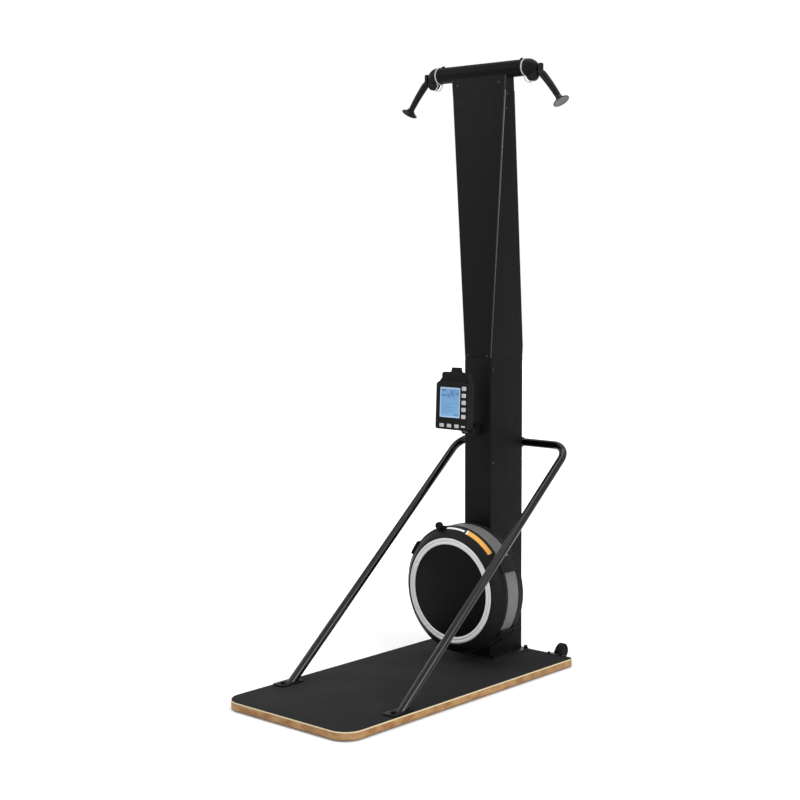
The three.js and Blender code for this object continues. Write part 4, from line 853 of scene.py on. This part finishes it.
def make_column_screws():
    for side, sign in SIDES:
        for k, (x, level) in enumerate(FRONT_SCREWS, 1):
            screw(f"front_screw_{k}_{side}", (sign * x, COLUMN_FRONT, level), -Y, "gloss", *COLUMN_SCREW, "steel")
        for k, (y, level) in enumerate(SIDE_SCREWS, 1):
            half = column_size(level)[0]
            slope = (column_size(level + CUT)[0] - half) / CUT
            outward = Vector((sign, 0, -slope)).normalized()
            screw(f"side_screw_{k}_{side}", (sign * half, y, level), outward, "bolt", *COLUMN_SCREW)


# Crossbar, its screws and its rings
BAR_SCREW = (0.0065, 0.0055)


def make_crossbar():
    inset, sink, turn, setback = 0.014, 0.0004, radians(-5), 0.0008
    bar = tube(BAR_RADIUS - BAR_WALL, BAR_RADIUS, -BAR_END, BAR_END, X, BAR_AXIS, 0.0008, 160)
    idler = box_of("idler_right")[2]
    reach = sqrt(BAR_RADIUS ** 2 - (BAR_AXIS.z - idler.z) ** 2) - GAP
    pins = [rod(PIN_RADIUS, -reach, reach, Y, (sign * idler.x, BAR_AXIS.y, idler.z), PIN_EDGE) for sign in (-1, 1)]
    fine("crossbar", joined(without(bar, idler_slots()), *pins), "bar")
    direction = Vector((0, sin(turn), cos(turn)))
    for side, sign in SIDES:
        place = BAR_AXIS + X * sign * (BAR_END - inset) + direction * (BAR_RADIUS - sink)
        screw(f"bar_screw_{side}", place, direction, "bar", *BAR_SCREW)
    ring = tube(BAR_RADIUS - BAR_WALL, (ring_high.z - ring_low.z) / 2, ring_low.x + setback,
                ring_high.x - setback, X, BAR_AXIS, 0.0012)
    pair("bar_ring", ring, "ring")


# Swivelling heads
DOME_RADIUS = 0.031
LOBE_RADIUS = 0.0245
LOBE_HALF = 0.0105
LOBE_EDGE = 0.004
SPIGOT_LENGTH = 0.018
SPIGOT_RADIUS = BAR_RADIUS - BAR_WALL - 0.00035
SPIGOT_OVERLAP = 0.0045
SKIN_VOXEL = 0.0009
CORD_BORE = 0.006
CORD_RADIUS = 0.002
PULL_ANGLE = radians(40)
PULLEY_RADIUS = 0.0185
PULLEY_FLANGE = 0.021
PULLEY_DROP = 0.008
HEAD_START = ring_high.x + GAP
PULLEY = Vector((box_of("end_pulley_right")[2].x, BAR_AXIS.y, BAR_AXIS.z - PULLEY_DROP - PULLEY_RADIUS))
PULL = Vector((cos(PULL_ANGLE), 0, -sin(PULL_ANGLE)))
SPIGOT_START = Vector((BAR_END - SPIGOT_LENGTH, BAR_AXIS.y, BAR_AXIS.z))


def on_pulley(angle):
    """Where the cord touches its pulley, from the top on towards the handle."""
    return PULLEY + PULLEY_RADIUS * Vector((sin(angle), 0, cos(angle)))


EXIT = on_pulley(PULL_ANGLE)


def dome_mesh():
    edge, collar, length, steps = 0.0012, 0.009, 0.055, 40
    taper_power, round_power = 1.8, 0.8
    profile = [(0, 0), (DOME_RADIUS - edge, 0), (DOME_RADIUS, edge)]
    for t in (sin(k / steps * QUARTER) for k in range(steps)):
        profile.append((DOME_RADIUS * (1 - t ** taper_power) ** round_power, collar + (length - collar) * t))
    return lathe(profile + [(0, length)], 128, X, (HEAD_START, BAR_AXIS.y, BAR_AXIS.z))


def make_heads():
    half = 0.0067
    lobe = rod(LOBE_RADIUS, -LOBE_HALF, LOBE_HALF, Y, PULLEY, LOBE_EDGE, 96)
    spigot = rod(SPIGOT_RADIUS, SPIGOT_START.x, HEAD_START + SPIGOT_OVERLAP, X, BAR_AXIS, 0.0008, 96)
    skin = softened(joined(dome_mesh(), lobe, spigot), SKIN_VOXEL, 4)
    bore = sweep([SPIGOT_START - X * CUT, SPIGOT_START, on_pulley(0)], CORD_BORE, 32)
    room = rod(PULLEY_FLANGE + 2 * GAP, -half, half, Y, PULLEY, 0, 96)
    length, height, corner = 0.060, 0.012, 0.0015
    slot = plate(rounded_box(length, 2 * half, corner, (length / 2, 0)), height, 0, flat_at(-height / 2))
    moved(slot, Matrix.Translation(EXIT) @ Matrix.Rotation(PULL_ANGLE, 4, "Y"))
    skin = without(skin, combined(combined(room, slot), bore))
    pin = rod(PIN_RADIUS, -half - GAP, half + GAP, Y, PULLEY, 0, 48)
    pair("swivel", joined(skin, pin), "plastic", "swivel")


def make_end_pulleys():
    rim, bore, cut = 0.001, 0.00435, CORD_RADIUS * 1.15
    low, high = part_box("end_pulley_right")
    hub, hub_foot, hub_height = 0.009, 0.0094, 0.0006
    width = (high.y - low.y) / 2 - hub_height
    face = [(bore, width + hub_height), (hub, width + hub_height), (hub_foot, width), (PULLEY_FLANGE, width),
            (PULLEY_FLANGE, width - rim)]
    groove = [(PULLEY_RADIUS - cut * cos(a), cut * sin(a)) for a in (QUARTER * 0.9 * (1 - k / 8) for k in range(17))]
    profile = face + groove + [(r, -x) for r, x in reversed(face)]
    pair("end_pulley", lathe(profile + [profile[0]], 96, Y, PULLEY), "plastic", "end_pulley")


# Wire keepers that guide the cord under each head
KEEPER_ARC = (radians(192), radians(242))
KEEPER_ROOT = (0.004, 0.002)


def make_keepers():
    radius, wire, half = 0.031, 0.0016, 0.0128
    arc = arc_points((PULLEY.x, PULLEY.z), radius, *KEEPER_ARC, 24)
    root = (HEAD_START + KEEPER_ROOT[0], BAR_AXIS.z - DOME_RADIUS + KEEPER_ROOT[1])
    near = [Vector((x, BAR_AXIS.y - half, z)) for x, z in (root, *arc)]
    far = [Vector((p.x, BAR_AXIS.y + half, p.z)) for p in reversed(near)]
    pair("keeper", sweep(near + far, wire, 16), "steel", "swivel")


# Handles
HEAD_OFFSET = 0.0624
SHAFT_ANGLE = radians(51)
SHAFT_DROP = 0.020
SHAFT_LENGTH = 0.144
SHAFT_BOW = 0.003
BELL_RADIUS = 0.031
BELL_LIP = 0.0026
TIP = 0.0001
SHAFT = Vector((cos(SHAFT_ANGLE), 0, -sin(SHAFT_ANGLE)))
SHAFT_SIDE = Vector((sin(SHAFT_ANGLE), 0, cos(SHAFT_ANGLE)))
HEAD_X = HEAD_START + HEAD_OFFSET
SHAFT_START = Vector((HEAD_X, BAR_AXIS.y, BAR_AXIS.z - SHAFT_DROP))


def shaft_radius(along):
    root, top, waist, swell, bell, power = 0.0115, 0.0135, 0.011, 0.018, 0.026, 2.4
    grip = SHAFT_LENGTH - bell
    if along < swell:
        t = share_of(along, 0, swell)
        return root + (top - root) * t * t * (3 - 2 * t)
    if along < grip:
        return top + (waist - top) * share_of(along, swell, grip)
    t = share_of(along, grip, SHAFT_LENGTH - BELL_LIP)
    return waist + (BELL_RADIUS - waist) * t ** power


def shaft_ring(along, radius):
    bow = SHAFT_BOW * sin(along / SHAFT_LENGTH * pi)
    lean = SHAFT_BOW * pi / SHAFT_LENGTH * cos(along / SHAFT_LENGTH * pi)
    across = (SHAFT + SHAFT_SIDE * lean).normalized().cross(Y)
    centre = SHAFT_START + SHAFT * along + SHAFT_SIDE * bow
    return [centre + Y * radius * c + across * radius * s for c, s in circle(72)]


def dish_place(radius):
    """How far along the shaft the hollow end of the bell is at a radius."""
    depth = 0.004
    sphere = (BELL_RADIUS ** 2 + depth ** 2) / (2 * depth)
    return SHAFT_LENGTH - max(depth - sphere + sqrt(sphere ** 2 - radius ** 2), 0)


def handle_shaft():
    steps, rim = 60, BELL_RADIUS - 0.0032
    straight = SHAFT_LENGTH - BELL_LIP
    half = BELL_LIP / 2
    rings = [shaft_ring(along, shaft_radius(along)) for along in (straight * k / steps for k in range(steps + 1))]
    rings += [shaft_ring(straight + half * (1 - cos(a)), BELL_RADIUS - half + half * cos(a / 2))
              for a in (k / 6 * pi for k in range(1, 7))]
    return loft(rings + [shaft_ring(dish_place(radius), radius)
                         for radius in (rim * (1 - k / 15) + TIP for k in range(1, 16))])


def make_handles():
    drop, depth = 0.008, 0.009
    rim, sink, rise = BELL_RADIUS - 0.0036, 0.0008, 0.00035
    width, height, thickness = 0.014, 0.038, 0.017
    corner, edge = 0.006, 0.003
    head = upright_plate(
        width, height, corner, (HEAD_X, BAR_AXIS.z - drop), BAR_AXIS.y - thickness / 2, thickness, edge)
    entry = EXIT + PULL * ((HEAD_X - width / 2 - EXIT.x) / PULL.x)
    pocket = sweep([entry - PULL * CUT, entry + PULL * depth], CORD_RADIUS + 2 * GAP, 24)
    pair("handle", softened(without(combined(head, handle_shaft()), pocket), SKIN_VOXEL, 2), "grip", "handle")
    shares = [k / 14 for k in range(15)]
    disc = [shaft_ring(dish_place(r) + up, r + TIP)
            for r, up in ([(rim * share, -sink) for share in shares]
                          + [(rim * (1 - share), rise) for share in shares])]
    pair("bell_end", loft(disc), "dish", "handle")
    bend = [on_pulley(PULL_ANGLE * k / 10) for k in range(11)]
    cord = sweep([SPIGOT_START, *bend, entry + PULL * (depth - GAP)], CORD_RADIUS, 16)
    for side, sign in SIDES:
        mesh = cord.copy() if sign > 0 else mirrored(cord)
        piece = fine(f"cord_end_{side}", mesh, "cord", None)
        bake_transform(piece)


# Drum: rear shell with lugs, perforated band, front cover, trim ring
DRUM_SIDES = 192
DRUM_REACH = 0.159
DRUM_RADIUS = 0.2325
FACE_RADIUS = 0.198
BEVEL_DEPTH = 0.034
DRUM_WALL = 0.003
# Degrees, width and reach of each lug
LUGS = ((29, 0.060, 0.128), (147, 0.060, 0.128), (215, 0.044, 0.114), (323, 0.044, 0.114))
TRIM_OUTER = 0.1915
TRIM_INNER = 0.169
TRIM_THICKNESS = 0.0045
TRIM_PROUD = 0.001
SCALE_INSET = 0.030
SCALE_WIDTH = 0.017
SCALE_RECESS = 0.0013
BEVEL_RISE = DRUM_RADIUS - FACE_RADIUS
BEVEL_LENGTH = hypot(BEVEL_RISE, BEVEL_DEPTH)


def ahead(distance):
    """A place in front of the column."""
    return COLUMN_FRONT - distance


def placed(profile):
    """A drum profile of (radius, distance in front of the column) as (radius, place)."""
    return [(radius, ahead(distance)) for radius, distance in profile]


def on_bevel(along, height=0.0):
    """Radius and place of a point on the front cover's bevel, that far from the face and above it."""
    out = BEVEL_RISE / BEVEL_LENGTH
    back = BEVEL_DEPTH / BEVEL_LENGTH
    return (FACE_RADIUS + along * out + height * back, ahead(DRUM_REACH - along * back + height * out))


def ring_sector(inner, outer, a, b):
    """The outline of a block between two radii and two angles, with rounded corners."""
    ease = 0.0025
    out, back = ease / outer, ease / inner
    centre = (AXLE.x, AXLE.z)

    def corner(*places):
        return quadratic(*((AXLE.x + r * cos(t), AXLE.z + r * sin(t)) for r, t in places), 4)

    return [*arc_points(centre, outer, a + out, b - out, 24),
            *corner((outer, b - out), (outer, b), (outer - ease, b))[1:],
            *corner((inner + ease, b), (inner, b), (inner, b - back)),
            *arc_points(centre, inner, b - back, a + back, 24)[1:],
            *corner((inner, a + back), (inner, a), (inner + ease, a))[1:],
            *corner((outer - ease, a), (outer, a), (outer, a + out))[:-1]]


def make_rear_shell():
    bore, slope, depth, flare = 0.020, 0.020, 0.047, 0.0015
    rim, step, overlap, edge = 0.241, 0.046, 0.0005, 0.0014
    outer, wall = 0.2305, DRUM_WALL
    chamfer = outer - slope
    lip = outer + flare
    profile = placed([
        (bore, GAP), (chamfer, GAP), (outer, slope), (outer, depth - 3 * flare), (lip, depth - 2 * flare),
        (lip, depth), (outer - wall, depth), (outer - wall, slope + wall), (chamfer - wall, GAP + wall),
        (bore, GAP + wall), (bore, GAP)])
    pieces = [lathe(rounded(profile, 0.0012, 4), DRUM_SIDES, Y, AXLE)]
    for degrees, width, end in LUGS:
        angle, half = radians(degrees), width / rim / 2
        for inner, rear, front in ((outer - overlap, slope, step + overlap),
                                   (DRUM_RADIUS + 2 * overlap, step, end)):
            outline = ring_sector(inner, rim, angle - half, angle + half)
            pieces.append(plate(outline, front - rear, edge, facing(ahead(front))))
    fine("drum_rear_shell", joined(*pieces), "drum")


def make_front_cover():
    recess, hub, bore, depth = 0.0025, 0.018, 0.00835, 0.013
    outer, inner = TRIM_OUTER + GAP, TRIM_INNER - GAP
    floor = DRUM_REACH + TRIM_PROUD - TRIM_THICKNESS - GAP
    rim = COLUMN_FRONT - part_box("drum_front_cover")[1].y
    disc = DRUM_REACH - recess
    inside = disc - DRUM_WALL
    groove = SCALE_INSET + SCALE_WIDTH
    front = [*placed([(0, disc), (inner, disc), (inner, floor), (outer, floor), (outer, DRUM_REACH),
                      (FACE_RADIUS, DRUM_REACH)]),
             on_bevel(SCALE_INSET), on_bevel(SCALE_INSET, -SCALE_RECESS), on_bevel(groove, -SCALE_RECESS),
             on_bevel(groove), *placed([(DRUM_RADIUS, DRUM_REACH - BEVEL_DEPTH), (DRUM_RADIUS, rim)])]
    wall = DRUM_RADIUS - DRUM_WALL
    rear = placed([(wall, rim), (wall, DRUM_REACH - BEVEL_DEPTH - DRUM_WALL), (TRIM_OUTER, floor - DRUM_WALL),
                   (hub, inside), (hub, inside - depth), (bore, inside - depth), (bore, inside), (0, inside)])
    fine("drum_front_cover", lathe(rounded(front, 0.0005, 2) + rear, DRUM_SIDES, Y, AXLE), "drum")


def make_trim_ring():
    groove = 0.0016
    face = DRUM_REACH + TRIM_PROUD
    back = face - TRIM_THICKNESS
    middle = (TRIM_OUTER + TRIM_INNER) / 2
    outer, inner = 0.001, 0.0008
    profile = placed([
        (TRIM_INNER, back), (TRIM_OUTER, back), (TRIM_OUTER, face - outer), (TRIM_OUTER - outer, face),
        (middle + groove, face), (middle, face - groove), (middle - groove, face), (TRIM_INNER + inner, face),
        (TRIM_INNER, face - inner), (TRIM_INNER, back)])
    fine("trim_ring", lathe(profile, DRUM_SIDES, Y, AXLE), "trim", angle=50)


def make_mesh_band():
    radius = 0.230
    low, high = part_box("mesh_band")
    fine("mesh_band", tube(radius - DRUM_WALL, radius, low.y, high.y, Y, AXLE, 0.0004, DRUM_SIDES), "mesh")


# Damper: the strip in the bevel, and the lever with its shoe, stalk and knob
SCALE_ARC = (radians(42.5), radians(99))
KNOB_EDGE = 0.004
STALK = (0.0105, 0.012, 0.0015)
STALK_CENTRE = 0.23225
STALK_DEPTH = 0.013


def bevel_block(low, high, start, end, angles, steps):
    """A block that lies on the bevel and follows its turn."""
    corners = (on_bevel(start, low), on_bevel(end, low), on_bevel(end, high), on_bevel(start, high))
    turns = (angles[0] + (angles[1] - angles[0]) * k / steps for k in range(steps + 1))
    return loft([[(r * cos(a), y, AXLE.z + r * sin(a)) for r, y in corners] for a in turns])


def make_damper():
    sheet, angle, half, height = 0.0008, radians(105), radians(4.5), 0.005
    radius, centre, knob_half, setback = 0.014, 0.2375, 0.009, 0.014
    floor = GAP - SCALE_RECESS
    end = SCALE_INSET + SCALE_WIDTH
    fine("damper_scale", bevel_block(floor, floor + sheet, SCALE_INSET + GAP, end - GAP, SCALE_ARC, 60), "scale")
    shoe = bevel_block(GAP, GAP + height, SCALE_INSET, end, (angle - half, angle + half), 12)
    middle = ahead(DRUM_REACH - setback)
    knob = rod(radius, -knob_half, knob_half, Y, (centre, middle, 0), KNOB_EDGE, 72)
    stalk = upright_plate(*STALK, (STALK_CENTRE, 0), middle, STALK_DEPTH, 0.0012)
    turn = Matrix.Translation(AXLE) @ Matrix.Rotation(-angle, 4, "Y")
    lever = softened(joined(shoe, moved(joined(knob, stalk), turn)), 0.0005, 3)
    fine("damper_lever", lever, "plastic", "damper_lever")


# Support frame: the bent tube, its foot plates and their bolts
SUPPORT_PLATE = (0.052, 0.105, 0.005)
SUPPORT_PLATE_CORNER = 0.010


def trim_to_plates(work):
    """Cuts the legs off level inside their plates and closes them."""
    geometry = work.verts[:] + work.edges[:] + work.faces[:]
    level = (0, 0, DECK_TOP + SUPPORT_PLATE[2] / 2)
    cut = bmesh.ops.bisect_plane(work, geom=geometry, plane_co=level, plane_no=Z, clear_inner=True)
    bmesh.ops.contextual_create(work, geom=[e for e in cut["geom_cut"] if isinstance(e, bmesh.types.BMEdge)])


def make_support():
    radius, turn, half, level = 0.015, 0.070, 0.258, 0.817
    foot_y, bolt_y, bolt, washer = -0.3435, -0.3835, (0.008, 0.0055), (0.0105, 0.0012)
    low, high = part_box("support_frame")
    corner = Vector((half, high.y - radius, level))
    foot = Vector((half, foot_y, DECK_TOP))
    leg = (corner - foot).normalized()
    bend = corner - leg * turn - X * turn
    arc = [bend + X * turn * cos(a) + leg * turn * sin(a) for a in (QUARTER * k / 20 for k in range(21))]
    right = [foot - leg * 2 * radius, *arc]
    left = [Vector((-p.x, p.y, p.z)) for p in reversed(right)]
    fine("support_frame", edited(sweep(right + left, radius, 56), trim_to_plates), "tube", angle=40)
    width, length, thickness = SUPPORT_PLATE
    plates, bolts = [], []
    for x in (-half, half):
        outline = rounded_box(width, length, SUPPORT_PLATE_CORNER, (x, low.y + length / 2))
        plates.append(plate(outline, thickness, 0.0008, flat_at(DECK_TOP)))
        place = (x, bolt_y, DECK_TOP + thickness)
        bolts += [rod(washer[0], 0, washer[1], Z, place, 0.0004), hexagon(*bolt, place)]
    finished("support_feet", joined(*plates), "column")
    finished("support_bolts", joined(*bolts), "bar", angle=25)


# Monitor mount: a plate on the column, and a bracket with two ears, a pin and a knob
PIVOT = Vector((0, 0.3055, 0.880))
MONITOR_LEAN = radians(-2.5)
ARM_WIDTH = 0.032
MOUNT_SIZE = (0.062, 0.052, 0.006)


def leaning(mesh):
    """Leans a piece that is laid out upright back about the tilt pin."""
    return moved(mesh, Matrix.Translation(PIVOT) @ Matrix.Rotation(MONITOR_LEAN, 4, "X") @ Matrix.Translation(-PIVOT))


def make_mount():
    sheet, ear = 0.003, 0.013
    low, high, middle = box_of("monitor_plate")
    size = high - low
    mesh = upright_plate(size.x, size.z, 0.006, (0, middle.z), low.y, size.y, 0.0007)
    fine("monitor_plate", mesh, "plastic")
    rear = low.y - GAP
    base = upright_plate(*MOUNT_SIZE, (0, PIVOT.z), rear - sheet, sheet, 0.0006)
    half = MOUNT_SIZE[1] / 2 - MOUNT_SIZE[2]
    outline = [*arc_points((PIVOT.y, PIVOT.z), ear, QUARTER, 3 * QUARTER, 20),
               (rear - sheet / 2, PIVOT.z - half), (rear - sheet / 2, PIVOT.z + half)]
    inner = ARM_WIDTH / 2 + GAP
    outer = inner + sheet
    ears = [plate(outline, sheet, 0.0005, sideways(x)) for x in (inner, -outer)]
    pin = rod(PIN_RADIUS, -outer, outer, X, PIVOT, 0, 48)
    radius, sink, reach = 0.011, 0.0015, 0.013
    knob = rod(radius, outer - sink, outer + reach, X, PIVOT, 0.003, 64)
    fine("monitor_bracket", joined(base, *ears, pin, knob), "plastic")


# Monitor: arm, case with its hood, buttons
CASE_FRONT = COLUMN_FRONT - 0.155
CASE_MIDDLE = CASE_FRONT + 0.015
CASE_REAR = CASE_MIDDLE + 0.024
CASE_SIZE = (0.148, 0.175)
CASE_LEVEL = 0.975
CASE_CORNER = 0.009
CASE_BEVEL = 0.002
HOOD_EDGE = 0.0025
ARM_FLANGE = (0.072, 0.054, 0.006)
SCREEN_SIZE = (0.094, 0.109)
SCREEN_CENTRE = (-0.007, CASE_LEVEL + 0.011)
SCREEN_DEPTH = 0.0029


def button_places():
    """Name, place across and up, width and height of every button."""
    side, top, pitch, width, height = 0.0585, CASE_LEVEL + 0.064, 0.0253, 0.019, 0.015
    start, row, step, base_width, base_height, slim = -0.042, CASE_LEVEL - 0.073, 0.035, 0.020, 0.013, 0.006
    return [*((f"button_side_{k + 1}", side, top - pitch * k, width, height) for k in range(5)),
            *((f"button_base_{k + 1}", start + step * k, row, base_width, base_height) for k in range(3)),
            ("button_slim", side, row, width, slim)]


def make_arm():
    radius, level, drop, sheet = 0.010, PIVOT.z + 0.034, 0.021, 0.004
    left = sideways(-ARM_WIDTH / 2)
    eye = plate(arc_points((PIVOT.y, PIVOT.z), radius, 0, 4 * QUARTER, 48)[:-1], ARM_WIDTH, 0.0008, left)
    rear = CASE_REAR + GAP + sheet
    outline = [(PIVOT.y, PIVOT.z - radius), (PIVOT.y, PIVOT.z + radius), (rear - sheet / 2, level + radius),
               (rear - sheet / 2, level - drop)]
    reach = plate(outline, ARM_WIDTH, 0.0012, left)
    flange = upright_plate(*ARM_FLANGE, (0, level), rear - sheet, sheet, 0.0008)
    fine("monitor_arm", leaning(joined(eye, reach, flange)), "plastic", "monitor")


def hood_outline():
    """The rear part of the case: sloped shoulders and the raised middle."""
    shoulder, rise, ease, step = 0.060, 0.033, 0.011, 0.012
    bump_foot, bump, bump_rise = 0.023, 0.015, 0.017
    half = CASE_SIZE[0] / 2 - CASE_BEVEL
    base = CASE_LEVEL - CASE_SIZE[1] / 2 + CASE_BEVEL
    high = CASE_LEVEL + CASE_SIZE[1] / 2
    top = high + rise
    return both_sides(
        [(half + CASE_BEVEL - CASE_CORNER, base), (half, base + CASE_CORNER), (half, high - CASE_CORNER),
         *quadratic((half, high - CASE_CORNER), (half, high), (shoulder, high + step)),
         *quadratic((shoulder, top - ease), (shoulder, top), (shoulder - ease, top)),
         *quadratic((bump_foot, top), (bump, top), (bump, top + bump_rise))])


def opening(width, height, corner, centre, depth):
    """A cutter for a hole in the front of the case, a gap wider than what sits in it."""
    return upright_plate(width + 2 * GAP, height + 2 * GAP, corner, centre, CASE_FRONT - CUT, CUT + depth, 0)


def make_case():
    slope, corner, proud, depth, travel = 0.016, 0.003, 0.002, 0.0035, 0.0015
    width, height = CASE_SIZE
    half, base, top = width / 2, CASE_LEVEL - height / 2, CASE_LEVEL + height / 2
    outline = both_sides([*arc_points((half - CASE_CORNER, base + CASE_CORNER), CASE_CORNER, -QUARTER, 0, 8),
                          *quadratic((half, top - slope), (half, top - slope / 3), (half - slope, top))])
    slab = plate(outline, CASE_MIDDLE - CASE_FRONT, CASE_BEVEL, facing(CASE_FRONT))
    hood = plate(hood_outline(), CASE_REAR - CASE_MIDDLE + CASE_BEVEL, HOOD_EDGE, facing(CASE_MIDDLE - CASE_BEVEL))
    cutters = [opening(*SCREEN_SIZE, corner, SCREEN_CENTRE, SCREEN_DEPTH)]
    cutters += [opening(wide, high, min(corner, high / 2), (x, z), depth + travel + GAP)
                for _, x, z, wide, high in button_places()]
    fine("monitor_case", leaning(without(combined(slab, hood), joined(*cutters))), "plastic", "monitor")
    for name, x, z, wide, high in button_places():
        mesh = upright_plate(wide, high, min(corner, high / 2 - GAP), (x, z), CASE_FRONT - proud, proud + depth, 0.0008)
        fine(name, leaning(mesh), "button", name)


for make in (make_platform, make_wheels, make_forks, make_column_foot, make_column, make_column_screws, make_crossbar,
             make_heads, make_end_pulleys, make_keepers, make_handles, make_rear_shell, make_front_cover,
             make_trim_ring, make_mesh_band, make_damper, make_support, make_mount, make_arm, make_case):
    make()


# Floor, backdrop and lamps
FLOOR_LIFT = 0.22
FLOOR_FADE = (1.0, 2.2)
WORLD_LIGHT = 0.42
WHITE = (1, 1, 1, 1)
# Place, target, size and watts of each lamp
LAMPS = {
    "key": ((-2.6, -2.6, 3.6), (0, 0.2, 0.9), (2.0, 2.6), 84),
    "fill": ((4.2, -0.6, 2.6), (0, 0.2, 0.9), (2.4, 3.0), 130),
    "top": ((0.4, 0.6, 5.2), (0, 0.2, 0), (3.2, 3.2), 90),
}


def make_floor():
    half = 14.0
    corners = [(x * half, y * half, 0) for x, y in ((-1, -1), (1, -1), (1, 1), (-1, 1))]
    mesh = bpy.data.meshes.new("floor")
    mesh.from_pydata(corners, [], [(0, 1, 2, 3)])
    look = Look("floor", srgb(246), 0.9, 0.0)
    level = look.span(look.vector("LENGTH", look.coordinates), *FLOOR_FADE, FLOOR_LIFT, 1.0)
    strength = look.math("MULTIPLY", level, seen_directly(look.tree))
    lift = look.node("Emission", {"Strength": strength, "Color": WHITE})
    total = look.node("AddShader", (look.shader.outputs[0], lift.outputs[0]))
    look.tree.links.new(total.outputs[0], look.tree.nodes["Material Output"].inputs["Surface"])
    mesh.materials.append(look.material)
    shown("floor", mesh)


def make_world():
    world = bpy.data.worlds.new("world")
    world.use_nodes = True
    tree = world.node_tree
    back = tree.nodes["Background"].inputs
    back["Color"].default_value = WHITE
    level = add_node(tree, "MapRange", {0: seen_directly(tree), 3: WORLD_LIGHT, 4: 1.0})
    tree.links.new(level.outputs[0], back["Strength"])
    scene.world = world


def make_lamps():
    for name, (place, target, size, power) in LAMPS.items():
        data = bpy.data.lights.new(name, "AREA")
        data.shape = "RECTANGLE"
        data.size, data.size_y = size
        data.energy = power
        holder = shown(name, data)
        holder.location = place
        holder.rotation_euler = (Vector(target) - Vector(place)).to_track_quat("-Z", "Y").to_euler()


make_floor()
make_world()
make_lamps()
scene.view_settings.view_transform = "Standard"
